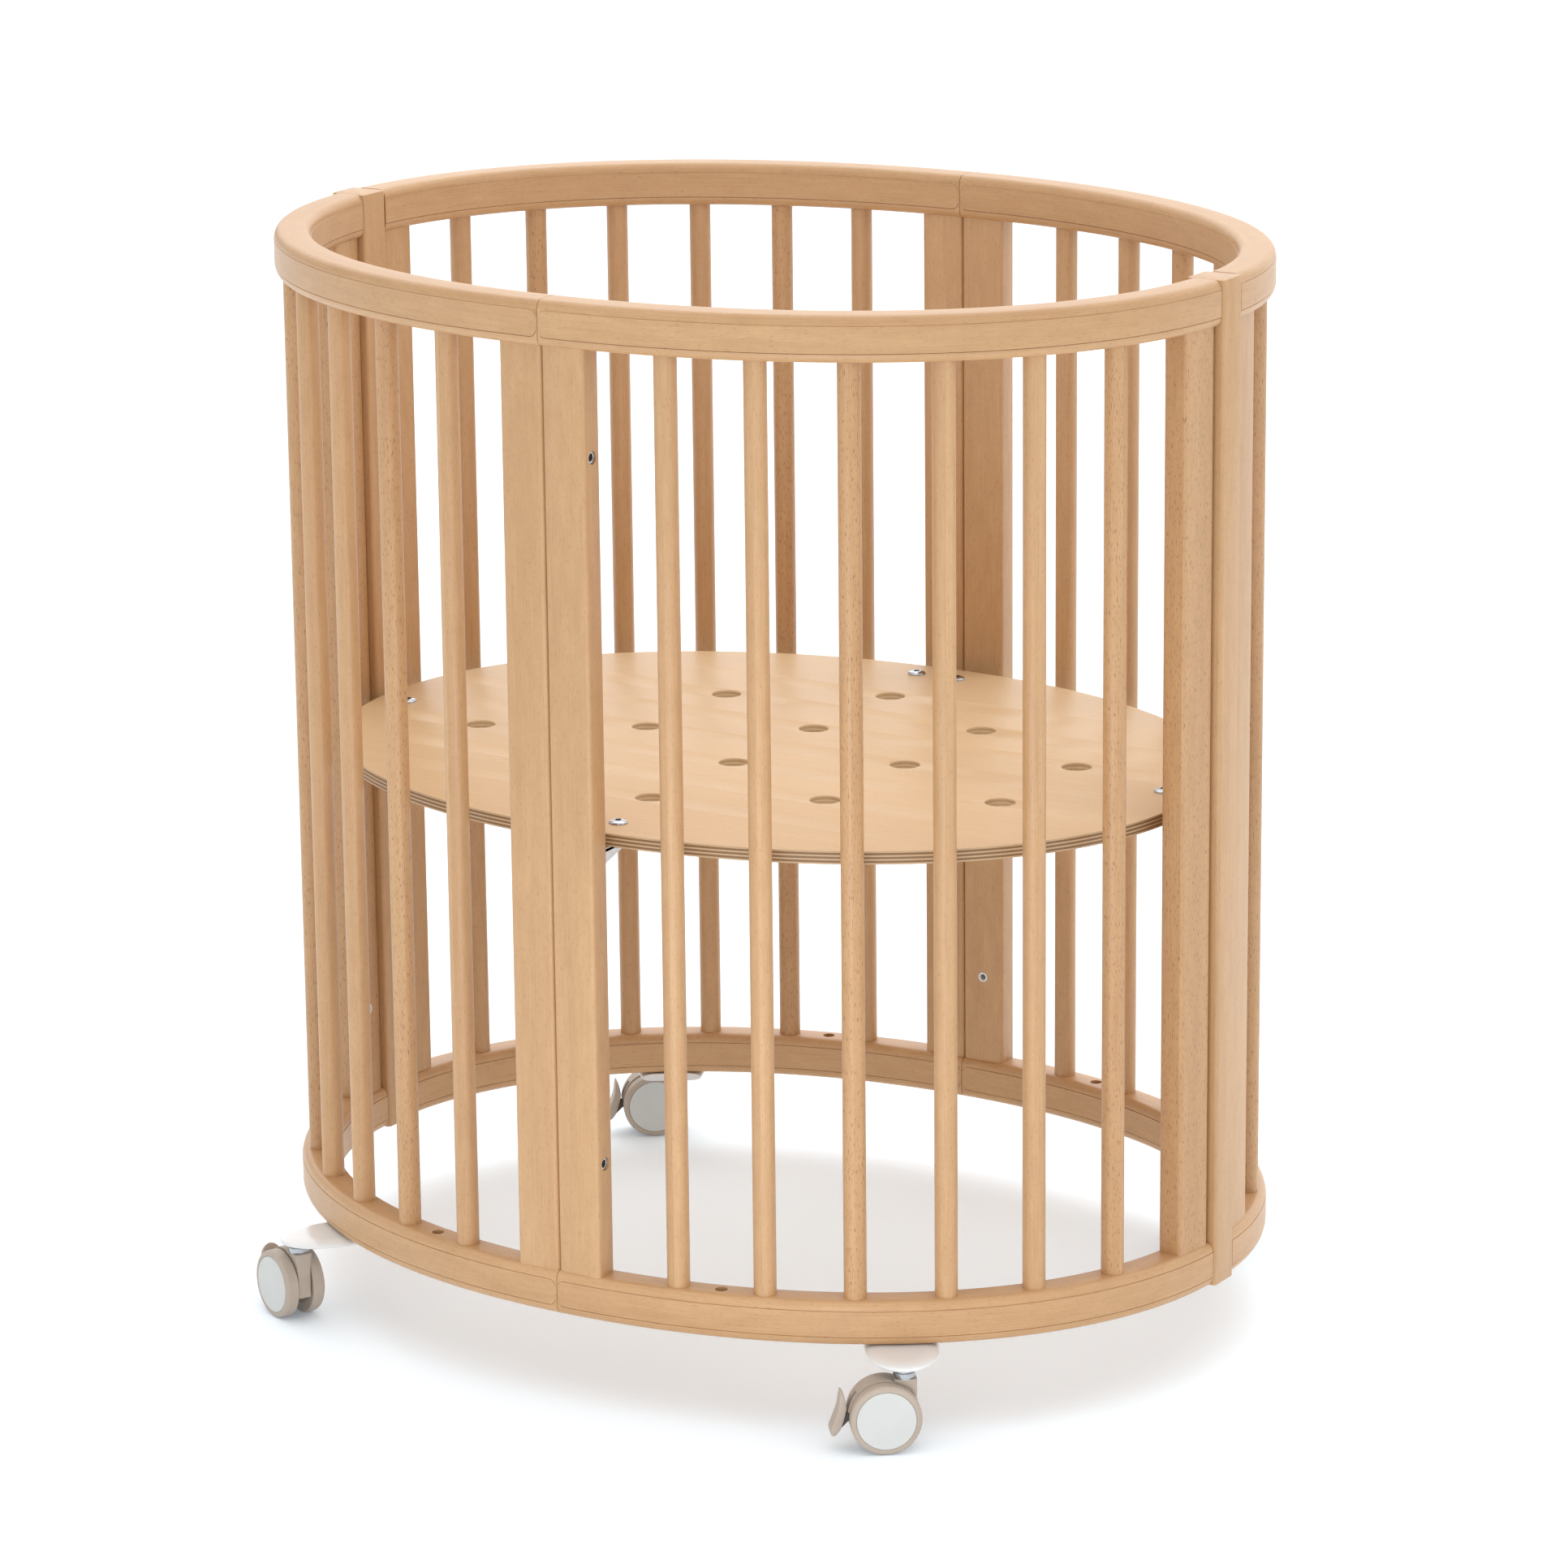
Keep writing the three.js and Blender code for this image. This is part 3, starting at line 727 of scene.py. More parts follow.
def make_rail(quarter, level):
    x_side, y_side = QUARTERS[quarter]
    base = HIGH_RAIL_BOTTOM if level == "top" else RAIL_BOTTOM
    high_groove = FAINT_GROOVE if level == "top" else LOW_RAIL_TOP_GROOVE
    end_y = STRIP_WIDTH / 2 + (FIT if y_side < 0 else STRIP_GROOVE)
    stations = rail_stations(end_y)
    rings = []
    for index, along in enumerate(stations):
        point, out = middle_place(max(along, SEAM_GAP))
        cut_end = index in (0, len(stations) - 1)
        ring = []
        for inset, height in rail_section(along, END_EASE if cut_end else 0, high_groove):
            spot = point + out * (RAIL_WIDTH / 2 - inset)
            if index < 2:
                spot.x = SEAM_GAP + along
            if index >= len(stations) - 2:
                spot.y = end_y + stations[-1] - along
            ring.append(Vector((x_side * spot.x, y_side * spot.y, base + height)))
        rings.append(ring)
    shift = next_grain()
    around = perimeter([Vector(point) for point in rail_section(RAIL_WIDTH, 0, high_groove)])
    around = [distance + shift for distance in around]
    builder = skin(rings, [along + shift for along in stations], around)
    rail = to_object(f"wood_rail_{level}_{quarter}", builder, BEECH)
    if level == "bottom":
        hole = standing(quarter, (slat_along(0) + slat_along(1)) / 2, LOW_RAIL_TOP)
        cut(rail, [cylinder_cutter(PEGGING_HOLE / 2, FITTING_SIDES, hole, PEGGING_DEPTH)])
    finish_piece(rail, "frame", "beech", f"rail_{level}_{quarter}")


# ---------------------------------------------------------------- posts, slats and strips

def make_slats(quarter):
    outline = circle(SLAT_DIAMETER / 2, SLAT_SIDES)
    levels = [(LOW_RAIL_TOP - INTO_RAIL, 0), (HIGH_RAIL_BOTTOM + INTO_RAIL, 0)]
    for index in range(SLATS_PER_QUARTER):
        place = standing(quarter, slat_along(index))
        wood = BEECH_FLECKED if (index + QUARTERS[quarter][0]) % 3 == 0 else BEECH
        slat = bar(f"wood_slat_{quarter}_{index + 1}", wood, outline, levels, place)
        finish_piece(slat, "frame", "beech", f"slat_{quarter}_{index + 1}")


def make_seam_bolts(quarter, post_frame):
    """Recesses in the side of the post, each with a flanged bolt head that has a hex socket."""
    x_side = QUARTERS[quarter][0]
    rim = SEAM_BOLT_RIM
    chamfer = SEAM_BOLT_FACE + SEAM_BOLT_BEVEL
    head = [
        (0, -SEAM_BOLT_SEAT), (rim, -SEAM_BOLT_SEAT), (rim, -chamfer), (rim - 0.5 * MM, -SEAM_BOLT_FACE),
        (rim - 1.5 * MM, -SEAM_BOLT_FACE), (rim - 1.9 * MM, -chamfer), (rim - 2 * MM, -SEAM_BOLT_FLOOR),
        (0, -SEAM_BOLT_FLOOR),
    ]
    drills = []
    for number, height in enumerate(SEAM_BOLT_HEIGHTS, start=1):
        centre = post_frame.translation
        face = Vector((x_side * (SEAM_GAP + POST_WIDTH), centre.y, RAIL_BOTTOM + height))
        place = Matrix.Translation(face) @ Matrix.Rotation(x_side * math.pi / 2, 4, "Y")
        drills.append(cylinder_cutter(SEAM_BOLT_RECESS / 2, FITTING_SIDES, place, SEAM_BOLT_RECESS_DEPTH))
        bolt = lathe(f"seam_bolt_{quarter}_{number}", head, FITTING_SIDES, place, CHROME)
        finish_piece(bolt, "frame", "steel")
        # The hex socket is a near-black hex disc on the head's floor, standing in for the hole: painted
        # shade.
        floor_place = place @ Matrix.Translation((0, 0, -SEAM_BOLT_FLOOR - 0.2 * MM))
        socket = prism(f"seam_bolt_socket_{quarter}_{number}", circle(SEAM_BOLT_SOCKET, 6), 0.6 * MM,
                       floor_place, 0, 1, SOCKET_PAINTED_SHADE)
        finish_piece(socket, "frame", "steel")
    return drills


def make_insert(quarter, end, post_frame):
    """A threaded insert in the post's inner face, for the mattress base's lower setting."""
    face = Vector((-POST_DEPTH / 2, 0, RAIL_BOTTOM + INSERT_HEIGHT))
    place = post_frame @ Matrix.Translation(face) @ Matrix.Rotation(-math.pi / 2, 4, "Y")
    outer = INSERT_DIAMETER / 2
    bore = INSERT_BORE / 2
    sleeve = outer - 0.1 * MM
    profile = [
        (0, -INSERT_LENGTH), (sleeve, -INSERT_LENGTH), (sleeve, 0),
        (outer - INSERT_BEVEL, INSERT_RIM_RISE), (bore + INSERT_BEVEL, INSERT_RIM_RISE),
    ]
    depth = 0.1 * MM
    while depth < THREAD_RUN:
        profile.append((bore, -depth))
        profile.append((bore + THREAD_DEPTH, -depth - THREAD_PITCH / 2))
        depth += THREAD_PITCH
    profile.append((0, -depth))
    insert = lathe(f"insert_{quarter}_{end}", profile, FITTING_SIDES, place, ZINC)
    finish_piece(insert, "frame", "steel")
    return cylinder_cutter(outer, FITTING_SIDES, place, INSERT_LENGTH + 0.5 * MM)


def make_posts(quarter):
    x_side, y_side = QUARTERS[quarter]
    outline = rounded_rectangle(POST_DEPTH, POST_WIDTH, POST_ROUND, CORNER_STEPS)
    levels = [(LOW_RAIL_TOP - INTO_RAIL, 0), (HIGH_RAIL_BOTTOM + INTO_RAIL, 0)]
    for end in ("seam", "end"):
        place = post_place(quarter, end)
        wood = BEECH_FLECKED if end == "end" and y_side < 0 else BEECH
        post = bar(f"wood_post_{quarter}_{end}", wood, outline, levels, place)
        drills = []
        if end in fitted_ends(quarter):
            drills.append(make_insert(quarter, end, place))
        if end == "seam" and x_side * y_side < 0:
            drills += make_seam_bolts(quarter, place)
        if drills:
            cut(post, drills)
        finish_piece(post, "frame", "beech", f"post_{quarter}_{end}")


def make_strip(side_name, x_side):
    """The joint strip stands between the rails' ends, flush with their top and bottom."""
    outline = rounded_rectangle(RAIL_WIDTH + 2 * STRIP_PROUD, STRIP_WIDTH, STRIP_ROUND, CORNER_STEPS)
    levels = [
        (RAIL_BOTTOM, STRIP_EASE),
        (RAIL_BOTTOM + 0.3 * STRIP_EASE, 0.3 * STRIP_EASE),
        (RAIL_BOTTOM + STRIP_EASE, 0),
        (RAIL_TOP - STRIP_EASE, 0),
        (RAIL_TOP - 0.3 * STRIP_EASE, 0.3 * STRIP_EASE),
        (RAIL_TOP, STRIP_EASE),
    ]
    place = Matrix.Translation((x_side * (OVAL_HALF_LENGTH - RAIL_WIDTH / 2), 0, 0))
    strip = bar(f"wood_strip_{side_name}", BEECH, outline, levels, place)
    finish_piece(strip, "frame", "beech", f"joint_strip_{side_name}")


# ---------------------------------------------------------------- mattress base

def vent_centres():
    centres = []
    for column in range(-2, 3):
        rows = (-1.5, -0.5, 0.5, 1.5) if column % 2 == 0 else (-1, 0, 1)
        for row in rows:
            if abs(column) < 2 or abs(row) < 1:
                centres.append((column * VENT_PITCH, row * VENT_PITCH))
    return centres


def add_loop(curve, points):
    spline = curve.splines.new("POLY")
    spline.points.add(len(points) - 1)
    for target, (x, y) in zip(spline.points, points):
        target.co = (x, y, 0, 1)
    spline.use_cyclic_u = True


def board_outline():
    """The board as a filled flat curve: the oval inside the posts, with its vents as holes."""
    curve = bpy.data.curves.new("board", "CURVE")
    curve.dimensions = "2D"
    curve.fill_mode = "BOTH"
    curve.extrude = DECK_THICKNESS / 2 - DECK_EASE
    curve.bevel_depth = DECK_EASE
    curve.bevel_resolution = 1
    curve.offset = -DECK_EASE
    outline = [oval_point(math.tau * k / DECK_SIDES, DECK_INSET)[0] for k in range(DECK_SIDES)]
    add_loop(curve, [(p.x, p.y) for p in outline])
    for x, y in vent_centres():
        add_loop(curve, [(x + p.x, y + p.y) for p in circle(VENT_DIAMETER / 2, VENT_SIDES)])
    return curve


def curve_builder(curve):
    """The mesh of a curve, as a bmesh whose neighbours share their vertices."""
    drawn = bpy.data.objects.new("board_outline", curve)
    bpy.context.scene.collection.objects.link(drawn)
    evaluated = drawn.evaluated_get(bpy.context.evaluated_depsgraph_get())
    builder = bmesh.new()
    builder.from_mesh(bpy.data.meshes.new_from_object(evaluated))
    bpy.data.objects.remove(drawn)
    bmesh.ops.remove_doubles(builder, verts=builder.verts, dist=1e-6)
    return builder


def make_board():
    """The oval plywood board: veneer on its faces, and plies at its edge and in its round vents, where the
    plies are painted paler as painted light.
    """
    builder = curve_builder(board_outline())
    builder.transform(Matrix.Translation((0, 0, DECK_TOP - DECK_THICKNESS / 2)))
    for layer in list(builder.loops.layers.uv.values()):
        builder.loops.layers.uv.remove(layer)
    grain = builder.loops.layers.uv.new("grain")
    bmesh.ops.recalc_face_normals(builder, faces=builder.faces)
    underside = DECK_TOP - DECK_THICKNESS
    for face in builder.faces:
        is_edge = abs(face.normal.z) < DECK_FLAT_NORMAL
        centre = face.calc_center_median()
        in_vent = any(math.hypot(centre.x - x, centre.y - y) < VENT_DIAMETER for x, y in vent_centres())
        if is_edge:
            face.material_index = 2 if in_vent else 1
        for loop in face.loops:
            x, y, z = loop.vert.co
            if is_edge:
                loop[grain].uv = (math.atan2(y, x) * OVAL_HALF_LENGTH, z - underside)
            else:
                loop[grain].uv = (x, y)
    board = to_object("board", builder, VENEER, PLY_EDGE, PLY_VENT_PAINTED_LIGHT)
    finish_piece(board, "mattress_base", "plywood", "mattress_base")


def make_angle(name, place):
    """A pressed steel angle with a low gusset at each side; X points out of the oval."""
    top = DECK_TOP - DECK_THICKNESS
    face = -POST_DEPTH / 2 - FIT
    inside = face - ANGLE_THICKNESS
    below = top - ANGLE_THICKNESS
    bend = ANGLE_BEND
    profile = [
        (face, top - ANGLE_LEG), (face, top - bend), (face - 0.3 * bend, top - 0.3 * bend),
        (face - bend, top), (face - ANGLE_REACH, top), (face - ANGLE_REACH, below),
        (inside - bend, below), (inside, below - bend), (inside, top - ANGLE_LEG),
    ]
    turn = Matrix.Rotation(math.pi / 2, 4, "X")
    side = place @ Matrix.Translation((0, ANGLE_WIDTH / 2, 0)) @ turn
    plate = prism(name, profile, ANGLE_WIDTH, side, 0.4 * MM, 2, ZINC)
    finish_piece(plate, "mattress_base", "steel")
    near = face - 0.5 * MM
    tip = face - ANGLE_REACH + 2 * MM
    gusset = [(near, top - 0.5 * MM), (tip, top - 0.5 * MM), (tip, below), (near, below - GUSSET_DROP)]
    for number, across in enumerate((ANGLE_WIDTH / 2, GUSSET_THICKNESS - ANGLE_WIDTH / 2), start=1):
        web_place = place @ Matrix.Translation((0, across, 0)) @ turn
        web = prism(f"{name}_gusset_{number}", gusset, GUSSET_THICKNESS, web_place, 0.2 * MM, 1, ZINC)
        finish_piece(web, "mattress_base", "steel")


def make_deck_bolt(name, place):
    """A button-head bolt with a hex socket, standing on the board."""
    radius = DECK_BOLT_DIAMETER / 2
    rise = DECK_BOLT_RISE
    dome = rise - DECK_BOLT_BRIM
    profile = [(0, -0.5 * MM), (radius, -0.5 * MM), (radius, DECK_BOLT_BRIM)]
    for step in range(1, DECK_BOLT_STEPS):
        angle = math.pi / 2 * step / DECK_BOLT_STEPS
        profile.append((radius * math.cos(angle) ** 0.8, DECK_BOLT_BRIM + dome * math.sin(angle)))
    profile.append((0, rise))
    bolt = lathe(name, profile, DECK_BOLT_SIDES, place, CHROME)
    socket = place @ Matrix.Translation((0, 0, rise))
    cut(bolt, [cylinder_cutter(DECK_BOLT_SOCKET, 6, socket, DECK_BOLT_SOCKET_DEPTH)])
    finish_piece(bolt, "mattress_base", "steel")
    # A near-black hex disc at the bottom of the cut socket: painted shade.
    floor_place = place @ Matrix.Translation((0, 0, rise - DECK_BOLT_SOCKET_DEPTH - 0.1 * MM))
    socket_floor = prism(f"{name}_socket", circle(DECK_BOLT_SOCKET - 0.05 * MM, 6), 0.4 * MM,
                         floor_place, 0, 1, SOCKET_PAINTED_SHADE)
    finish_piece(socket_floor, "mattress_base", "steel")


def fitted_ends(quarter):
    """The board is bolted to all four seam posts and to one end post at each end of the oval."""
    x_side, y_side = QUARTERS[quarter]
    return ("seam", "end") if x_side == y_side else ("seam",)


def make_base_fittings(quarter):
    for end in fitted_ends(quarter):
        place = post_place(quarter, end)
        make_angle(f"angle_{quarter}_{end}", place)
        inward = -POST_DEPTH / 2 - DECK_BOLT_INSET
        head = place @ Matrix.Translation((inward, 0, DECK_TOP))
        make_deck_bolt(f"base_bolt_{quarter}_{end}", head)


# ---------------------------------------------------------------- casters

def bracket_rim():
    """Points round the tongue with their outward directions: a short tail and a half-oval nose."""
    half = BRACKET_WIDTH / 2
    start = RAIL_WIDTH / 2 - BRACKET_NOSE_SETBACK
    reach = RAIL_WIDTH / 2 + STEM_OUTSET + BRACKET_NOSE - start
    left = Vector((0, 1))
    rim = [(Vector((-BRACKET_TAIL, BRACKET_TAPER - half)), -left), (Vector((0, -half)), -left)]
    for step in range(BRACKET_STEPS + 1):
        angle = math.pi * (step / BRACKET_STEPS - 0.5)
        out = Vector((math.cos(angle) / reach, math.sin(angle) / half)).normalized()
        rim.append((Vector((start + reach * math.cos(angle), half * math.sin(angle))), out))
    rim += [(Vector((0, half)), left), (Vector((-BRACKET_TAIL, half - BRACKET_TAPER)), left)]
    return rim


def bracket_levels():
    """The tongue's (inset, height) levels: a short round below its widest line, a long one above."""
    widest = BRACKET_WIDEST_SHARE * BRACKET_THICKNESS
    low_steps = 6
    high_steps = 10
    levels = []
    for step in range(low_steps + 1):
        angle = math.pi / 2 * (1 - step / low_steps)
        levels.append((BRACKET_LOW_ROUND * (1 - math.cos(angle)), widest * (1 - math.sin(angle))))
    for step in range(1, high_steps + 1):
        angle = math.pi / 2 * step / high_steps
        height = widest + (BRACKET_THICKNESS - widest) * math.sin(angle)
        levels.append((BRACKET_HIGH_ROUND * (1 - math.cos(angle)), height))
    return levels


def make_bracket(quarter):
    """The glossy tongue under the rail that carries the caster; its X points out of the oval."""
    middle = (slat_along(SLATS_PER_QUARTER // 2 - 1) + slat_along(SLATS_PER_QUARTER // 2)) / 2
    place = standing(quarter, middle, BRACKET_BOTTOM)
    levels = bracket_levels()
    rings = []
    for inset, height in levels:
        rings.append([place @ Vector((*(point - out * inset), height)) for point, out in bracket_rim()])
    along = [height for inset, height in levels]
    bracket = to_object(f"bracket_{quarter}", skin(rings, along, perimeter(rings[0])), WHITE_PLASTIC)
    finish_piece(bracket, "frame", "white_plastic", f"caster_bracket_{quarter}")


def arc(centre_x, centre_y, radius, start, end, steps):
    """Points on an arc, its angles in degrees."""
    points = []
    for step in range(steps + 1):
        angle = math.radians(start + (end - start) * step / steps)
        points.append((centre_x + radius * math.cos(angle), centre_y + radius * math.sin(angle)))
    return points


def make_web(quarter, place, across):
    """The housing's body: a web with a hood between the wheels, slotted for the pedal's arm."""
    hood = arc(-TRAIL, WHEEL_RADIUS, WHEEL_RADIUS + 1 * MM, 72, 172, 26)
    outline = [(WEB_FRONT, WHEEL_RADIUS - WEB_FRONT_DROP), (WEB_FRONT, HOOD_TOP), (-5 * MM, HOOD_TOP)]
    outline += hood
    outline += [(-33 * MM, 27 * MM), (-31.5 * MM, 12 * MM), (-24 * MM, 9 * MM)]
    outline += arc(-TRAIL, WHEEL_RADIUS, 12 * MM, 250, 318, 12)
    side = place @ Matrix.Translation((0, WEB_THICKNESS / 2, 0)) @ across
    web = prism(f"housing_{quarter}", outline, WEB_THICKNESS, side, 0.9 * MM, 3, CASTER_PLASTIC)
    slot_place = place @ Matrix.Translation((-36 * MM, 0, 16 * MM))
    half = SLOT_WIDTH / 2
    slot = [(-6 * MM, -half), (4.5 * MM, -half), (4.5 * MM, half), (-6 * MM, half)]
    cut(web, [prism("cutter", slot, 26 * MM, slot_place, 0, 1)])
    finish_piece(web, f"caster_housing_{quarter}", "caster_plastic", f"caster_housing_{quarter}")


def make_boss(quarter, place):
    """The boss widens from the web's thickness to the collar's, in front of the wheels' treads."""
    between = (37 * MM, 40 * MM, 42 * MM, 44 * MM, 46 * MM, 48 * MM, 49.8 * MM, 51.1 * MM)
    heights = [BOSS_FOOT, *between, BOSS_TOP]
    neck = COLLAR_RADIUS - COLLAR_NECK
    rings = []
    for z in heights:
        rise = (z - BOSS_FOOT) / (BOSS_TOP - BOSS_FOOT)
        half = WEB_THICKNESS / 2 + (neck - WEB_THICKNESS / 2) * rise ** 2
        clear = WHEEL_RADIUS + 0.9 * MM
        tread = -TRAIL + math.sqrt(max(clear ** 2 - (z - WHEEL_RADIUS) ** 2, 0))
        back = min(max(tread, -COLLAR_RADIUS), 4 * MM)
        front = WEB_FRONT + 0.35 * MM * min(3 * rise, 1)
        ease = BOSS_EASE if z == BOSS_TOP else 0
        ring = []
        for corner in rounded_rectangle(front - back - 2 * ease, 2 * (half - ease), 1.6 * MM, 4):
            ring.append(place @ Vector(((front + back) / 2 + corner.x, corner.y, z)))
        rings.append(ring)
    boss = to_object(f"boss_{quarter}", skin(rings, heights, perimeter(rings[0])), CASTER_PLASTIC)
    finish_piece(boss, f"caster_housing_{quarter}", "caster_plastic")


def make_cavity(quarter, place, across):
    """The core of the housing, seen past the wheels' rims, in near-black as painted shade between the wheels.
    """
    half = CAVITY_HALF_WIDTH
    centre = Matrix.Translation((-TRAIL + 1.5 * MM, 0, WHEEL_RADIUS - 2 * MM))
    profile = [(0, -half), (CAVITY_RADIUS, -half), (CAVITY_RADIUS, half), (0, half)]
    cavity = lathe(f"cavity_{quarter}", profile, CAVITY_SIDES, place @ centre @ across, PAINTED_SHADE_PLASTIC)
    finish_piece(cavity, f"caster_housing_{quarter}", "caster_plastic")


def make_collar(quarter, place):
    """The plated collar on top of the boss, with a neck below it and up to the bracket."""
    radius = COLLAR_RADIUS
    neck = radius - COLLAR_NECK
    upper_neck = radius - 0.9 * MM
    top = BRACKET_BOTTOM - 0.2 * MM
    profile = [
        (0, HOOD_TOP), (neck, HOOD_TOP), (neck, BOSS_TOP + 0.5 * MM), (radius, BOSS_TOP + 0.9 * MM),
        (radius, BOSS_TOP + 3.9 * MM), (radius - 0.4 * MM, BOSS_TOP + 4.3 * MM),
        (upper_neck, BOSS_TOP + 4.4 * MM), (upper_neck, top), (0, top),
    ]
    collar = lathe(f"collar_{quarter}", profile, COLLAR_SIDES, place, CHROME)
    finish_piece(collar, f"caster_housing_{quarter}", "steel")


def tyre_profile():
    """A wheel's section from its inner face to the recess for its disc, as (radius, height) points."""
    outer = CASTER_WIDTH / 2
    inner = outer - WHEEL_WIDTH
    rim = WHEEL_RADIUS
    shoulder = outer - TYRE_SHOULDER
    recess = DISC_RADIUS + DISC_GAP
    profile = [
        (0, inner + 2 * MM), (8 * MM, inner + 2 * MM), (8.5 * MM, inner + 0.4 * MM),
        (17 * MM, inner + 0.4 * MM), (17.5 * MM, inner), (rim - 0.8 * MM, inner), (rim, inner + 0.8 * MM),
        (rim, shoulder),
    ]
    steps = 6
    for step in range(1, steps + 1):
        angle = math.pi / 2 * step / steps
        profile.append((rim - 2.4 * MM * (1 - math.cos(angle)), shoulder + 2.9 * MM * math.sin(angle)))
    profile += [(DISC_RADIUS + 0.5 * MM, outer - 0.2 * MM), (recess, outer - 0.5 * MM),
                (recess, outer - 1.4 * MM), (0, outer - 1.4 * MM)]
    return profile


def disc_profile():
    """The disc's section: slightly crowned, with a small round at its rim."""
    outer = CASTER_WIDTH / 2
    return [(0, outer - 1.6 * MM), (DISC_RADIUS, outer - 1.6 * MM), (DISC_RADIUS, outer - 0.45 * MM),
            (DISC_RADIUS - 0.35 * MM, outer - 0.1 * MM), (DISC_RADIUS * 0.6, outer - 0.02 * MM), (0, outer)]


def make_wheels(quarter, place, across):
    """Two wheels, each with a flush disc in its outer face, on one axle."""
    body = f"caster_wheels_{quarter}"
    axle_place = place @ Matrix.Translation((-TRAIL, 0, WHEEL_RADIUS)) @ across
    half = CASTER_WIDTH / 2 - WHEEL_WIDTH + 1 * MM
    axle_profile = [(0, -half), (AXLE_RADIUS, -half), (AXLE_RADIUS, half), (0, half)]
    axle = lathe(f"axle_{quarter}", axle_profile, AXLE_SIDES, axle_place, ZINC)
    finish_piece(axle, body, "steel")
    for side_name, flip in (("near", Matrix.Identity(4)), ("far", Matrix.Rotation(math.pi, 4, "X"))):
        wheel_place = axle_place @ flip
        tyre = lathe(f"wheel_{side_name}_{quarter}", tyre_profile(), WHEEL_SIDES, wheel_place, CASTER_PLASTIC)
        replaced = (body,) if side_name == "near" else ()
        finish_piece(tyre, body, "caster_plastic", *replaced)
        disc = lathe(f"disc_{side_name}_{quarter}", disc_profile(), WHEEL_SIDES, wheel_place, DISC_PLASTIC)
        finish_piece(disc, body, "disc_plastic")


def spline_through(points, steps):
    """A smooth run of points through a few, as a Catmull-Rom curve."""
    padded = [points[0]] + list(points) + [points[-1]]
    run = []
    for before, start, end, after in zip(padded, padded[1:], padded[2:], padded[3:]):
        for step in range(steps):
            t = step / steps
            linear = (end - before) * t
            square = (2 * before - 5 * start + 4 * end - after) * t ** 2
            cube = (3 * start - before - 3 * end + after) * t ** 3
            run.append(0.5 * (2 * start + linear + square + cube))
    run.append(points[-1])
    return run


def pedal_point(behind, above):
    """A point in the pedal's side view, in millimetres behind the wheels and above their axle."""
    return Vector((-TRAIL - WHEEL_RADIUS - behind * MM, WHEEL_RADIUS + above * MM))


def make_pedal_leaf(quarter, place):
    """The curved leaf behind the wheels, with a round top and a slightly narrower foot."""
    outside = spline_through([
        pedal_point(5.9, 20.1), pedal_point(6.3, 14), pedal_point(7.4, 7), pedal_point(10.2, -1),
        pedal_point(12.8, -8), pedal_point(12.6, -11.2), pedal_point(11.3, -12.8),
    ], PEDAL_STEPS)
    inside = spline_through([
        pedal_point(5.4, 19.9), pedal_point(3.0, 15), pedal_point(1.7, 8), pedal_point(3.0, 1),
        pedal_point(5.4, -6.5), pedal_point(7.9, -10.8), pedal_point(9.6, -12.7),
    ], PEDAL_STEPS)
    top = WHEEL_RADIUS + PEDAL_TOP
    foot = WHEEL_RADIUS - PEDAL_FOOT
    half = PEDAL_WIDTH / 2
    rings = []
    for out_point, in_point in zip(outside, inside):
        middle = (out_point + in_point) / 2
        through = (out_point - in_point).normalized()
        thickness = (out_point - in_point).length
        below_top = min((top - middle.y) / half, 1)
        above_foot = min((middle.y - foot) / (3 * MM), 1)
        round_top = math.sqrt(max(1 - (1 - below_top) ** 2, 0.02))
        width = PEDAL_WIDTH * round_top * (0.78 + 0.22 * math.sqrt(max(above_foot, 0)))
        ring = []
        for corner in rounded_rectangle(thickness, width, min(0.8 * MM, 0.45 * thickness), 3):
            spot = middle + through * corner.x
            ring.append(place @ Vector((spot.x, corner.y, spot.y)))
        rings.append(ring)
    along = [2 * MM * number for number in range(len(rings))]
    around = perimeter(rings[len(rings) // 2])
    leaf = to_object(f"pedal_{quarter}", skin(rings, along, around), CASTER_PLASTIC)
    finish_piece(leaf, f"caster_pedal_{quarter}", "caster_plastic", f"caster_pedal_{quarter}")


def make_pedal_arm(quarter, place, across):
    """The arm that joins the leaf to its pivot in the housing's slot, in near-black as painted shade."""
    pivot = pedal_point(-3.5, 5)
    corners = [(3, -2), (3.2, 0), (3, 2), (0, 2.6), (-3, -1), (-9.5, -8), (-12, -14), (-9, -14), (-2, -7)]
    outline = [(pivot.x + x * MM, pivot.y + z * MM) for x, z in corners]
    side = place @ Matrix.Translation((0, LUG_WIDTH / 2, 0)) @ across
    arm = prism(f"pedal_arm_{quarter}", outline, LUG_WIDTH, side, 0.3 * MM, 1, PAINTED_SHADE_PLASTIC)
    finish_piece(arm, f"caster_pedal_{quarter}", "caster_plastic")


def make_caster(quarter):
    """A caster in its own frame: X forward, Z up, the origin on the floor under the swivel axis."""
    swivel = Vector(JOINTS[f"caster_swivel_{quarter}"]["pos_m"])
    axle = Vector(JOINTS[f"caster_roll_{quarter}"]["pos_m"])
    forward = swivel - axle
    heading = math.atan2(forward.y, forward.x)
    place = Matrix.Translation((swivel.x, swivel.y, 0)) @ Matrix.Rotation(heading, 4, "Z")
    across = Matrix.Rotation(math.pi / 2, 4, "X")
    make_bracket(quarter)
    make_web(quarter, place, across)
    make_boss(quarter, place)
    make_cavity(quarter, place, across)
    make_collar(quarter, place)
    make_wheels(quarter, place, across)
    make_pedal_leaf(quarter, place)
    make_pedal_arm(quarter, place, across)


# ---------------------------------------------------------------- stage

